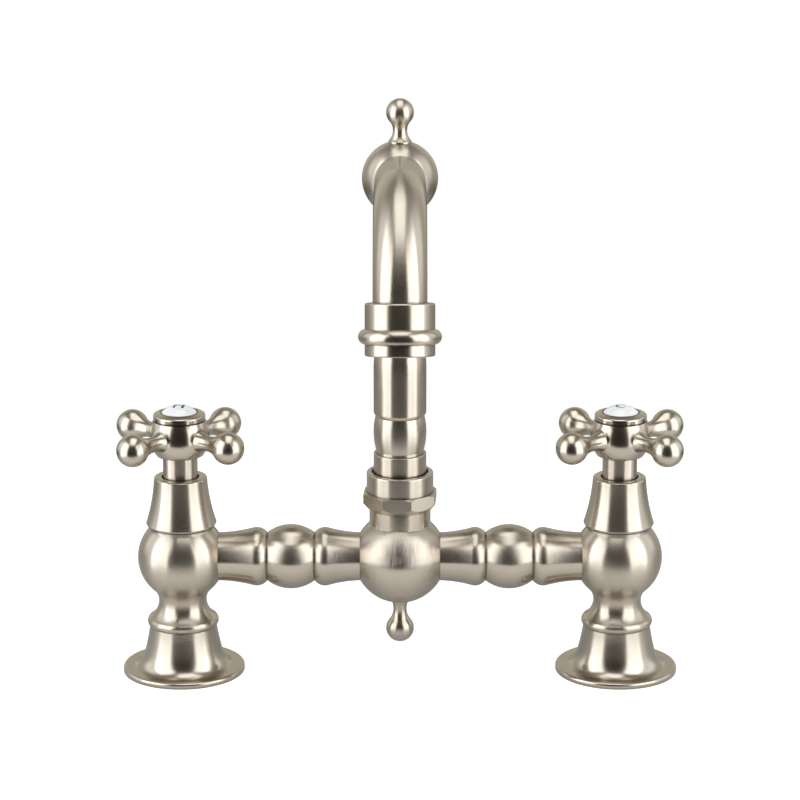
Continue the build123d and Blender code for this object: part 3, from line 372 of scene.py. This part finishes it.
def brushed(
    name, lines, *about,
    tilt=0.12, fineness=20, roughness=0.285, stretch=0.83, across=0.25, seams=(), rims=(),
):
    """A metal whose brush lines come from the function given, about what follows it.

    Tilt and fineness are the lines' own, the latter in lines to the millimetre. Stretch
    and across are the shader's smear: 0.25 of a turn sets it upright, 0 leaves it level.
    Seams are heights, and rims radii, at which a line of painted shadow is drawn.
    """
    material, finish = start_material(name)
    height, radius, angle, along = lines(finish, *about)
    per_metre = fineness / MM
    coordinates = finish.node(
        "ShaderNodeCombineXYZ",
        {},
        {"X": height * per_metre, "Y": radius * per_metre, "Z": angle * LINE_BREAKS},
    )
    grain_sockets = {"Vector": coordinates, "Scale": 1.0, "Detail": 1.0}
    grain = finish.node("ShaderNodeTexNoise", {}, grain_sockets)
    normal = eased_normal(finish, finish.scaled(along, (grain - 0.5) * tilt))

    place = finish.node("ShaderNodeTexCoord", output="Object")
    patch_sockets = {"Vector": place, "Scale": PATCHES_PER_METRE, "Detail": 3.0}
    patches = finish.node("ShaderNodeTexNoise", {}, patch_sockets)
    tone = finish.mix(patches, shade(NICKEL), shade(NICKEL, PATCH_SHADE))
    offsets = [height - seam for seam in seams] + [radius - rim for rim in rims]
    # Seams and corners take the darker colour: painted shade, with some buffing compound.
    tone = finish.mix(free_of_compound_and_shade(finish, offsets), shade(NICKEL, SEAM_COMPOUND_AND_SHADE), tone)
    shader = finish.node(
        "ShaderNodeBsdfPrincipled",
        {},
        {
            "Base Color": tone,
            "Metallic": 1.0,
            "Roughness": roughness + (patches - 0.5) * PATCH_ROUGHNESS,
            "Anisotropic": stretch,
            "Anisotropic Rotation": across,
            "Normal": normal,
        },
    )
    finish.node("ShaderNodeOutputMaterial", {}, {"Surface": shader})
    return material


# %% Putting a finish on
def dress(material, *names):
    """Gives the material to all slots of the nodes named."""
    for name in names:
        for slot in nodes[name].material_slots:
            slot.material = material


# %% [markdown]
# ## Which piece is brushed about which axis
#
# Pieces that share an axis share a finish. The upright ones smear their reflections
# upright. The feet are smoother and hardly smeared, so that their stripes keep the
# flare's outline. A bonnet sits flush on its valve body: a line of painted shadow
# parts the two.

# %% Dress the valves
for valve in VALVES:
    about = (lathe_lines, valve_axis[valve], UP)
    bonnet_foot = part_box(f"{valve}_bonnet")[0].z
    # The bonnet's foot gets a line of painted shadow.
    upright = brushed(f"nickel_{valve}_valve", *about, seams=(bonnet_foot,))
    dress(upright, f"{valve}_valve_body", f"{valve}_bonnet", f"{valve}_stem_sleeve")
    foot = brushed(f"nickel_{valve}_foot", *about, roughness=0.23, stretch=0.3)
    dress(foot, f"{valve}_escutcheon")
    print(valve, "bonnet stands at", round(bonnet_foot / MM, 2), "mm")

# %% [markdown]
# The column in the middle is upright too. The bridge's smear lies level, and so does
# that of the centre ball. The ball's comes from its lines alone, strong and very fine,
# because the shader's would blur the upright stripes on the neck as well.

# %% Dress the column and the bridge
BALL_RADIUS, NECK_RADIUS = 21.7 * MM, 14.2 * MM

column = brushed("nickel_column", lathe_lines, Vector(), UP)
dress(column, "swivel_nut", "spout_base", "spout_riser", "spout_ball")
dress(column, "top_finial", "low_finial")

bridge = brushed(
    "nickel_bridge", lathe_lines, bridge_middle, ACROSS,
    tilt=0.45, fineness=60, roughness=0.25, stretch=0.75, across=0.0,
)
for side in ("left", "right"):
    dress(bridge, f"{side}_outer_trumpet", f"{side}_bridge_bead", f"{side}_inner_trumpet")

neck_foot = bridge_middle.z + sqrt(BALL_RADIUS**2 - NECK_RADIUS**2)
centre = brushed(
    "nickel_centre", ball_lines, bridge_middle, ACROSS, neck_foot,
    tilt=1.8, fineness=60, roughness=0.2, stretch=0.0,
)
dress(centre, "centre_body")
print("the centre ball's neck starts at", round(neck_foot / MM, 2), "mm")

# %% [markdown]
# The handles are the same metal, buffed smoother, because hands polish them further.
# The hub's stripes are crisp, and the arms' ball ends are smeared a little. The ring
# sits flush on the hub, and the button all but flush in the ring, so both get a line
# of painted shadow.

# %% Dress the handles
HANDLE_TURN = radians(5)
BUTTON_GAP = 0.3 * MM

for valve, side in (("hot", -1), ("cold", 1)):
    hub = valve_axis[valve] + arm_height * UP
    first_arm = pi / 4 - side * HANDLE_TURN
    ring_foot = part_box(f"{valve}_handle_hub")[1].z - hub.z
    button_low, button_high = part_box(f"{valve}_index_button")
    button_rim = (button_high.x - button_low.x) / 2 + BUTTON_GAP
    # The ring's foot and the button's rim get lines of painted shadow.
    buffed = brushed(
        f"nickel_{valve}_hub", lathe_lines, hub, UP,
        roughness=0.2, stretch=0.0, seams=(ring_foot,), rims=(button_rim,),
    )
    dress(buffed, f"{valve}_handle_hub", f"{valve}_index_ring")
    arms = brushed(
        f"nickel_{valve}_arms", arm_lines, hub, first_arm, roughness=0.25, stretch=0.5
    )
    dress(arms, f"{valve}_handle_arms")
    print(valve, "handle's first arm at", round(degrees(first_arm), 1), "degrees")

# %% [markdown]
# The outlet hangs a little off plumb, and the tube bends about a line across the
# faucet. Both follow from the outlet's lean and the size of the bend.

# %% Dress the spout's tube and outlet
TUBE_BEND, TUBE_RADIUS = 44 * MM, 11.5 * MM
OUTLET_LEAN = radians(11.5)

tube_low, tube_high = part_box("spout_tube")
to_bend = TUBE_RADIUS + TUBE_BEND
bend_centre = Vector((0, tube_low.y + to_bend, tube_high.z - to_bend))
outlet_way = Vector((0, -sin(OUTLET_LEAN), -cos(OUTLET_LEAN)))
outlet = brushed("nickel_outlet", lathe_lines, middle("outlet_housing"), outlet_way)
dress(outlet, "outlet_housing")
dress(brushed("nickel_tube", tube_lines, bend_centre, TUBE_BEND), "spout_tube")
print("bend about", [round(c / MM, 1) for c in bend_centre])

# %% [markdown]
# ## What is inside
#
# The hidden pieces keep their own materials, so that a faucet taken apart still reads
# as one: brass waterways, alumina discs, rubber seals and a steel screw. Each has a
# fine even grain in place of brush lines, which a noise and a Bump node give.

# %% Plain materials with their own grain
GRAIN_SHADE, GRAIN_ROUGHNESS = 0.86, 0.1


def cast(name, colour, metallic, roughness, grain_size, relief):
    """A finish with an even grain, whose size and height are given in metres."""
    material, finish = start_material(name)
    place = finish.node("ShaderNodeTexCoord", output="Object")
    grain_sockets = {"Vector": place, "Scale": 1 / grain_size, "Detail": 2.0}
    grain = finish.node("ShaderNodeTexNoise", {}, grain_sockets)
    bump = finish.node("ShaderNodeBump", {}, {"Height": grain, "Distance": relief})
    sockets = {
        "Base Color": finish.mix(grain, shade(colour), shade(colour, GRAIN_SHADE)),
        "Metallic": metallic,
        "Roughness": roughness + (grain - 0.5) * GRAIN_ROUGHNESS,
        "Normal": bump,
    }
    shader = finish.node("ShaderNodeBsdfPrincipled", {}, sockets)
    finish.node("ShaderNodeOutputMaterial", {}, {"Surface": shader})
    return material


finishes = {
    "brass": cast("machined_brass", (0.78, 0.57, 0.25), 1.0, 0.3, 0.4 * MM, 0.004 * MM),
    "stainless_steel": cast("stainless_steel", (0.6, 0.59, 0.57), 1.0, 0.28, 0.3 * MM, 0.004 * MM),
    "black_rubber": cast("black_rubber", (0.02, 0.02, 0.02), 0.0, 0.6, 0.25 * MM, 0.01 * MM),
    "alumina": cast("white_alumina", (0.85, 0.83, 0.78), 0.0, 0.35, 0.15 * MM, 0.002 * MM),
    "porcelain": cast("glazed_porcelain", (0.86, 0.86, 0.855), 0.0, 0.08, 2.5 * MM, 0.012 * MM),
    "white_acetal": cast("white_acetal", (0.8, 0.8, 0.78), 0.0, 0.42, 0.3 * MM, 0.006 * MM),
}
for part in frame["record"]["subparts"]:
    if part["material_slot"] in finishes:
        dress(finishes[part["material_slot"]], part["node"])
print("dressed by slot:", ", ".join(finishes))

# %% [markdown]
# ## Threads on the shanks
#
# The shanks that pass the worktop carry a straight pipe thread, 14 turns to the inch.
# A thread follows one rule: the groove's depth depends only on how far a point is
# along the pitch, and the pitch advances once a turn. That makes it a job for Geometry
# Nodes: a flat grid is rolled into a sleeve, and the rule sets each point's radius.
# The groove fades at both ends, as a die leaves it.

# %% Sizes of the thread
PITCH = 25.4 / 14 * MM
CREST_SHARE = 0.12  # of the pitch, left uncut
FLANK_STEEPNESS = 1.3
AROUND = 72
ROWS_PER_TURN = 8
WELD = 0.002 * MM
THREAD_INPUTS = {
    "Geometry": "NodeSocketGeometry",
    "Crest": "NodeSocketFloat",
    "Depth": "NodeSocketFloat",
    "Pitch": "NodeSocketFloat",
    "Low": "NodeSocketFloat",
    "Length": "NodeSocketFloat",
    "Axis": "NodeSocketFloat",
    "Rows": "NodeSocketInt",
    "Metal": "NodeSocketMaterial",
}
print("pitch", round(PITCH / MM, 3), "mm, in", ROWS_PER_TURN, "rows of", AROUND)


# %% Roll a grid into a thread
def thread_tree():
    """A tree with the thread's sizes as named inputs."""
    group = bpy.data.node_groups.new("pipe_thread", "GeometryNodeTree")
    for name, kind in THREAD_INPUTS.items():
        group.interface.new_socket(name, in_out="INPUT", socket_type=kind)
    group.interface.new_socket("Geometry", in_out="OUTPUT", socket_type="NodeSocketGeometry")
    tree = Tree(group)
    given = group.nodes.new("NodeGroupInput")
    sizes = {name: Number(tree, given.outputs[name]) for name in THREAD_INPUTS}
    sheet = tree.node(
        "GeometryNodeMeshGrid",
        {},
        {"Size X": 1.0, "Size Y": 1.0, "Vertices X": AROUND + 1, "Vertices Y": sizes["Rows"]},
    )
    spot = tree.node("GeometryNodeInputPosition")
    u, v = (tree.node("ShaderNodeSeparateXYZ", {}, {0: spot}, way) + 0.5 for way in "XY")
    turn = u * (2 * pi)
    height = sizes["Low"] + v * sizes["Length"]
    phase = tree.math("FRACT", height / sizes["Pitch"] - u)
    off_crest = tree.math("ABSOLUTE", phase - 0.5) * 2 - CREST_SHARE
    groove = tree.math("MULTIPLY", off_crest, FLANK_STEEPNESS, clamp=True)
    to_end = tree.math("MINIMUM", v, 1 - v) * sizes["Length"]
    fade = tree.math("DIVIDE", to_end, sizes["Pitch"], clamp=True)
    radius = sizes["Crest"] - sizes["Depth"] * groove * fade
    x = sizes["Axis"] + radius * tree.math("COSINE", turn)
    y = radius * tree.math("SINE", turn)
    place = tree.node("ShaderNodeCombineXYZ", {}, {"X": x, "Y": y, "Z": height})
    sleeve = tree.node("GeometryNodeSetPosition", {}, {"Geometry": sheet, "Position": place})
    both = group.nodes.new("GeometryNodeJoinGeometry")
    group.links.new(sleeve.socket, both.inputs[0])
    group.links.new(sizes["Geometry"].socket, both.inputs[0])
    joined = {"Geometry": Number(tree, both.outputs[0]), "Distance": WELD}
    closed = tree.node("GeometryNodeMergeByDistance", {}, joined)
    real = tree.node("GeometryNodeRealizeInstances", {}, {"Geometry": closed})
    dressed = {"Geometry": real, "Material": sizes["Metal"]}
    coated = tree.node("GeometryNodeSetMaterial", {}, dressed)
    tree.node("NodeGroupOutput", {}, {"Geometry": coated})
    return group


pipe_thread = thread_tree()
thread_inputs = [s for s in pipe_thread.interface.items_tree if s.in_out == "INPUT"]
print("inputs:", [item.name for item in thread_inputs])

# %% [markdown]
# The plain parts of the shank are turned: a line of radii and heights swept round the
# axis. Its rings have as many points as the thread's grid, so that the two meet
# without a seam.


# %% Turn the plain parts
def turned(outline, x):
    """Rings round the upright line at x, joined in the order of the outline."""
    mesh = bmesh.new()
    rings = []
    for radius, height in outline:
        ring = []
        for step in range(AROUND):
            angle = 2 * pi * step / AROUND
            ring.append(mesh.verts.new((x + radius * cos(angle), radius * sin(angle), height)))
        rings.append(ring)
    for lower, upper in zip(rings, rings[1:]):
        for step in range(AROUND):
            after = (step + 1) % AROUND
            mesh.faces.new((lower[step], lower[after], upper[after], upper[step]))
    return mesh


def threaded(mesh, x, low, high, crest, depth):
    """Adds a thread to what the mesh holds and gives back a plain mesh."""
    holder = bpy.data.objects.new("thread", mesh)
    bpy.context.scene.collection.objects.link(holder)
    modifier = holder.modifiers.new("thread", "NODES")
    modifier.node_group = pipe_thread
    length = high - low
    rows = round(length / PITCH * ROWS_PER_TURN) + 1
    sizes = {"Crest": crest, "Depth": depth, "Pitch": PITCH, "Low": low, "Length": length}
    sizes |= {"Axis": x, "Rows": rows, "Metal": finishes["brass"]}
    for item in thread_inputs:
        if item.name in sizes:
            modifier[item.identifier] = sizes[item.name]
    seen = holder.evaluated_get(bpy.context.evaluated_depsgraph_get())
    result = bpy.data.meshes.new_from_object(seen)
    bpy.data.objects.remove(holder)
    return result


# %% Cut the shanks' threads
BORE = 6.0 * MM
THREAD_CREST, THREAD_DEPTH = 10.45 * MM, 0.95 * MM
COLLAR_RADIUS, COLLAR_TOP, COLLAR_END = 10.8 * MM, 15 * MM, -6 * MM
MOUNTING_LENGTH, RELIEF_LENGTH, RELIEF_RADIUS = 38 * MM, 2 * MM, 9.6 * MM
END_CHAMFER = 0.8 * MM
SHARP_EDGE = radians(35)


def thread_shank(valve):
    """A shank's threads and plain parts, as one closed mesh."""
    low, high = (corner.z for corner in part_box(f"{valve}_shank"))
    x, crest = valve_axis[valve].x, THREAD_CREST
    mounting_low = COLLAR_END - MOUNTING_LENGTH
    supply_top = mounting_low - RELIEF_LENGTH
    supply_low = low + END_CHAMFER
    end_and_bore = ((crest, high), (BORE, high), (BORE, low), (crest - END_CHAMFER, low))
    relief = ((crest, supply_top), (RELIEF_RADIUS, supply_top), (RELIEF_RADIUS, mounting_low))
    collar = ((crest, COLLAR_END), (COLLAR_RADIUS, COLLAR_END), (COLLAR_RADIUS, COLLAR_TOP))
    runs = (
        end_and_bore + ((crest, supply_low),),
        relief + ((crest, mounting_low),),
        collar + ((crest, COLLAR_TOP),),
    )
    plain = bmesh.new()
    mesh = bpy.data.meshes.new(f"{valve}_shank_plain")
    for run in runs:
        turned(run, x).to_mesh(mesh)
        plain.from_mesh(mesh)
    plain.to_mesh(mesh)
    for start, end in ((supply_low, supply_top), (mounting_low, COLLAR_END), (COLLAR_TOP, high)):
        mesh = threaded(mesh, x, start, end, crest, THREAD_DEPTH)
    whole = bmesh.new()
    whole.from_mesh(mesh)
    bmesh.ops.remove_doubles(whole, verts=whole.verts, dist=WELD)
    bmesh.ops.recalc_face_normals(whole, faces=whole.faces)
    whole.to_mesh(mesh)
    mesh.shade_smooth()
    mesh.set_sharp_from_angle(angle=SHARP_EDGE)
    open_edges = sum(edge.is_boundary for edge in whole.edges)
    print(valve, "shank:", len(mesh.polygons), "faces, open edges:", open_edges)
    return mesh


for valve in VALVES:
    shank = bpy.data.objects.new(f"{valve}_threaded_shank", thread_shank(valve))
    bpy.context.scene.collection.objects.link(shank)
    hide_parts(f"{valve}_shank")
    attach(shank, "body")

# %% [markdown]
# ## Letters on the porcelain
#
# A dark enamel letter is fired on each button: H for hot, C for cold. Each is a small
# flat shape whose points are dropped on to the button's dome, so that it bends with
# the glaze and is as thick as a coat of enamel. An extrusion adds its sides in no fixed
# order, so the faces are put in order of place: each run then gives the same letters.

# %% Shapes of the letters
LETTER_HALF_WIDTH, LETTER_HALF_HEIGHT = 2.5 * MM, 2.75 * MM
STEM, CROSSBAR = 1.05 * MM, 0.5 * MM
H_STEM_STEPS, H_BAR_STEPS, C_STEPS = (3, 14), (8, 2), (48, 3)
C_OPENING = radians(38)
C_SHIFT, C_INNER_WIDTH, C_INNER_HEIGHT = 0.26 * MM, 0.72, 0.84


def patch(mesh, corner, size, steps):
    """A flat rectangle of small squares."""
    grid = []
    for i in range(steps[0] + 1):
        x = corner[0] + size[0] * i / steps[0]
        heights = (corner[1] + size[1] * j / steps[1] for j in range(steps[1] + 1))
        grid.append([mesh.verts.new((x, y, 0)) for y in heights])
    for i in range(steps[0]):
        for j in range(steps[1]):
            mesh.faces.new((grid[i][j], grid[i + 1][j], grid[i + 1][j + 1], grid[i][j + 1]))


def letter_h():
    """Two stems with a thin bar between them."""
    mesh = bmesh.new()
    wide, tall = LETTER_HALF_WIDTH, LETTER_HALF_HEIGHT
    for left in (-wide, wide - STEM):
        patch(mesh, (left, -tall), (STEM, 2 * tall), H_STEM_STEPS)
    bar = (2 * (wide - STEM), CROSSBAR)
    patch(mesh, (-wide + STEM, -CROSSBAR / 2), bar, H_BAR_STEPS)
    return mesh


def letter_c():
    """A crescent: two ovals, the inner one set to the open side."""
    mesh = bmesh.new()
    steps, across = C_STEPS
    rows = []
    for step in range(steps + 1):
        angle = C_OPENING + (2 * pi - 2 * C_OPENING) * step / steps
        outer = Vector((LETTER_HALF_WIDTH * cos(angle), LETTER_HALF_HEIGHT * sin(angle), 0))
        inner = Vector((C_SHIFT + C_INNER_WIDTH * outer.x, C_INNER_HEIGHT * outer.y, 0))
        rows.append([mesh.verts.new(inner.lerp(outer, k / across)) for k in range(across + 1)])
    for near, far in zip(rows, rows[1:]):
        for k in range(across):
            mesh.faces.new((near[k], near[k + 1], far[k + 1], far[k]))
    return mesh


print("letters", 2 * LETTER_HALF_WIDTH / MM, "by", 2 * LETTER_HALF_HEIGHT / MM, "mm")

# %% Drop the letters on the domes
button_low, button_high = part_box("hot_index_button")
BUTTON_RADIUS = (button_high.x - button_low.x) / 2
DOME_RISE = 3.1 * MM
DOME_RADIUS = (BUTTON_RADIUS**2 + DOME_RISE**2) / (2 * DOME_RISE)
LETTER_TURN = radians(-7)
ENAMEL, ROOT = 0.05 * MM, 0.02 * MM  # above the glaze, and below it
enamel = cast("black_enamel", (0.03, 0.03, 0.035), 0.0, 0.25, 0.2 * MM, 0.003 * MM)

for valve, shape, name in (
    ("hot", letter_h, "hot_letter_H"),
    ("cold", letter_c, "cold_letter_C"),
):
    mesh = shape()
    for face in mesh.faces:
        face.normal_update()
    raised = bmesh.ops.extrude_face_region(mesh, geom=mesh.faces[:])["geom"]
    top = {v for v in raised if isinstance(v, bmesh.types.BMVert)}
    for vertex in mesh.verts:
        x = vertex.co.x * cos(LETTER_TURN) - vertex.co.y * sin(LETTER_TURN)
        y = vertex.co.x * sin(LETTER_TURN) + vertex.co.y * cos(LETTER_TURN)
        dome = button_high.z - DOME_RADIUS + sqrt(DOME_RADIUS**2 - x * x - y * y)
        lift = ENAMEL if vertex in top else -ROOT
        vertex.co = Vector((valve_axis[valve].x + x, y, dome + lift))
    bmesh.ops.recalc_face_normals(mesh, faces=mesh.faces)
    by_place = sorted(mesh.faces, key=lambda face: tuple(face.calc_center_median()))
    for index, face in enumerate(by_place):
        face.index = index
    mesh.faces.sort()
    data = bpy.data.meshes.new(name)
    mesh.to_mesh(data)
    data.materials.append(enamel)
    letter = bpy.data.objects.new(name, data)
    bpy.context.scene.collection.objects.link(letter)
    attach(letter, f"{valve}_handle")
    print(name, len(data.polygons), "faces")

# %% [markdown]
# ## The studio
#
# Metal shows its surroundings more than itself, so the set is half of the finish. Two
# tall softboxes stand left and right of the lens: they are the bright stripes at the
# sides of every turned piece, and the dark room between them is the stripe down the
# middle. A third hangs overhead, narrow and deep, and draws the highlight that runs
# down the spout's bend.

# %% Softboxes
STUDIO_CENTRE = Vector((0, 0, 0.12))
LAMP_COLOUR = (0.96, 1.0, 1.06)
SIDE_BOX = {"elevation": 12, "distance": 0.9, "size": (0.75, 1.5), "radiance": 2.5}
OVERHEAD_BOX = {"elevation": 85, "distance": 1.0, "size": (0.6, 1.1), "radiance": 1.95}


def softbox(name, azimuth, elevation, distance, size, radiance):
    """A lamp aimed at the faucet. Azimuth 0 is the lens's side, and grows to the right."""
    a, e = radians(azimuth), radians(elevation)
    way = Vector((sin(a) * cos(e), -cos(a) * cos(e), sin(e)))
    lamp = bpy.data.lights.new(name, "AREA")
    lamp.shape = "RECTANGLE"
    lamp.size, lamp.size_y = size
    lamp.energy = radiance * pi * size[0] * size[1]
    lamp.color = LAMP_COLOUR
    box = bpy.data.objects.new(name, lamp)
    box.location = STUDIO_CENTRE + way * distance
    box.rotation_euler = (-way).to_track_quat("-Z", "Y").to_euler()
    box.visible_camera = False
    bpy.context.scene.collection.objects.link(box)


softbox("left_softbox", azimuth=-61, **SIDE_BOX)
softbox("right_softbox", azimuth=55.5, **SIDE_BOX)
softbox("overhead_softbox", azimuth=0, **OVERHEAD_BOX)

# %% [markdown]
# The walls of the room are a large glowing sphere that the camera doesn't see, only
# the metal does. Angles on it are simple to write: how far round from the lens, and how
# far up. In front it is nearly dark. To the sides a glow carries the softboxes' stripes
# on towards the outline, further round the higher it is. Wings at the back corners and
# a glow behind light the rims, so that no edge is lost against the white page. The dark
# parts are a little warm, as a real room is, and the sides as cool as the lamps.

# %% Glow of the room
FRONT_GLOW, CEILING_GLOW, REAR_GLOW = 0.035, 0.2, 0.08
SIDE_GLOW, WING_GLOW, BEHIND_GLOW = 1.1, 0.45, 0.5
WARM, COOL = (1.0, 0.93, 0.76), (0.96, 1.0, 1.04)
COOL_SHARE = 4.0  # how soon a glow at the sides turns cool

# Ranges in degrees over which a glow comes or goes
CEILING_COMES, REAR_COMES = (30.0, 75.0), (80.0, 110.0)
SIDES_COME, SIDES_GO, SIDES_TOP = (60.0, 80.0), (84.0, 112.0), (40.0, 60.0)
REACH, REACH_COMES = 20, (-5.0, 15.0)
WINGS_COME, WINGS_GO, WINGS_FOOT = (95.0, 115.0), (150.0, 165.0), (-13.0, -2.0)
BEHIND_COMES, BEHIND_FOOT = (140.0, 165.0), (-4.0, 8.0)
BACK_TOP = (30.0, 50.0)

room_material, room = start_material("dark_room")
place = room.vector("NORMALIZE", room.node("ShaderNodeTexCoord", output="Object"))
x, y, z = (room.dot(place, tuple(way)) for way in (ACROSS, BACK, UP))
elevation = room.math("ARCSINE", z) * (180 / pi)
azimuth = room.math("ABSOLUTE", room.math("ARCTAN2", x, 0 - y)) * (180 / pi)

front = FRONT_GLOW + room.step(elevation, *CEILING_COMES) * CEILING_GLOW
reach = room.step(elevation, *REACH_COMES) * REACH
sides = room.step(azimuth, *SIDES_COME) * (1 - room.step(azimuth - reach, *SIDES_GO))
sides = sides * (1 - room.step(elevation, *SIDES_TOP))
sides = sides + room.step(azimuth, *REAR_COMES) * REAR_GLOW
wings = room.band(azimuth, WINGS_COME, WINGS_GO) * room.band(elevation, WINGS_FOOT, BACK_TOP)
behind = room.step(azimuth, *BEHIND_COMES) * room.band(elevation, BEHIND_FOOT, BACK_TOP)
level = front + sides * SIDE_GLOW + wings * WING_GLOW + behind * BEHIND_GLOW
coolness = room.math("MULTIPLY", sides, COOL_SHARE, clamp=True)
tint = room.mix(coolness, shade(WARM), shade(COOL))
glow = room.node("ShaderNodeEmission", {}, {"Color": tint, "Strength": level})
room.node("ShaderNodeOutputMaterial", {}, {"Surface": glow})
room_material.cycles.emission_sampling = "NONE"
print("glow in front", FRONT_GLOW, "and at the sides", SIDE_GLOW)

# %% Room walls, seen only by the metal
ROOM_RADIUS = 2.8

walls = bmesh.new()
bmesh.ops.create_uvsphere(walls, u_segments=48, v_segments=24, radius=ROOM_RADIUS)
bmesh.ops.reverse_faces(walls, faces=walls.faces)
wall_mesh = bpy.data.meshes.new("room_walls")
walls.to_mesh(wall_mesh)
wall_mesh.materials.append(room_material)
wall_object = bpy.data.objects.new("room_walls", wall_mesh)
wall_object.visible_camera = False
wall_object.visible_shadow = False
bpy.context.scene.collection.objects.link(wall_object)
print("room radius", ROOM_RADIUS, "m")

# %% [markdown]
# The table is white and ends in front of the faucet, which draws the sharp line along
# the lower half of every ball. The camera sees it as pure white, like the page round
# it. So that this adds no light, both whites are only for rays from the lens and for
# mirrored ones, which a Light Path node picks out. What the metal mirrors of the table
# fades towards the back.

# %% Table
TABLE_BACK, TABLE_FRONT, TABLE_HALF_WIDTH = 0.38, -0.22, 0.34
TABLE_GREY = (0.46, 0.46, 0.46)
CAMERA_LIFT, MIRROR_LIFT = 0.75, 0.48
MIRROR_FULL, MIRROR_NONE = -0.1, 0.06  # where along the table, from front to back
WHITE = (1, 1, 1, 1)

table_material, table = start_material("white_table")
path = "ShaderNodeLightPath"
mirrored = table.node(path, output="Is Glossy Ray") + table.node(path, output="Is Transmission Ray")
depth = table.dot(table.node("ShaderNodeTexCoord", output="Object"), tuple(BACK))
near = 1 - table.step(depth, MIRROR_FULL, MIRROR_NONE)
lift = table.node(path, output="Is Camera Ray") * CAMERA_LIFT + mirrored * near * MIRROR_LIFT
matt = table.node("ShaderNodeBsdfDiffuse", {}, {"Color": shade(TABLE_GREY)})
glow = table.node("ShaderNodeEmission", {}, {"Color": WHITE, "Strength": lift})
surface = table.node("ShaderNodeAddShader", {}, {0: matt, 1: glow})
table.node("ShaderNodeOutputMaterial", {}, {"Surface": surface})

table_mesh = bpy.data.meshes.new("table")
corners = [(-1, TABLE_FRONT), (1, TABLE_FRONT), (1, TABLE_BACK), (-1, TABLE_BACK)]
corners = [(x * TABLE_HALF_WIDTH, y, 0) for x, y in corners]
table_mesh.from_pydata(corners, [], [(0, 1, 2, 3)])
table_mesh.materials.append(table_material)
table_object = bpy.data.objects.new("table", table_mesh)
bpy.context.scene.collection.objects.link(table_object)
print("table", TABLE_BACK - TABLE_FRONT, "m deep")

# %% White background
AMBIENT = 0.25

world = bpy.data.worlds.new("studio")
bpy.context.scene.world = world
world.use_nodes = True
sky = Tree(world.node_tree)
seen = sky.node(path, output="Is Camera Ray") + sky.node(path, output="Is Glossy Ray")
seen = seen + sky.node(path, output="Is Transmission Ray")
strength = sky.math("MAXIMUM", sky.math("MULTIPLY", seen, 1.0, clamp=True), AMBIENT)
backdrop = sky.node("ShaderNodeBackground", {}, {"Color": WHITE, "Strength": strength})
sky.node("ShaderNodeOutputWorld", {}, {"Surface": backdrop})
print("ambient light", AMBIENT)
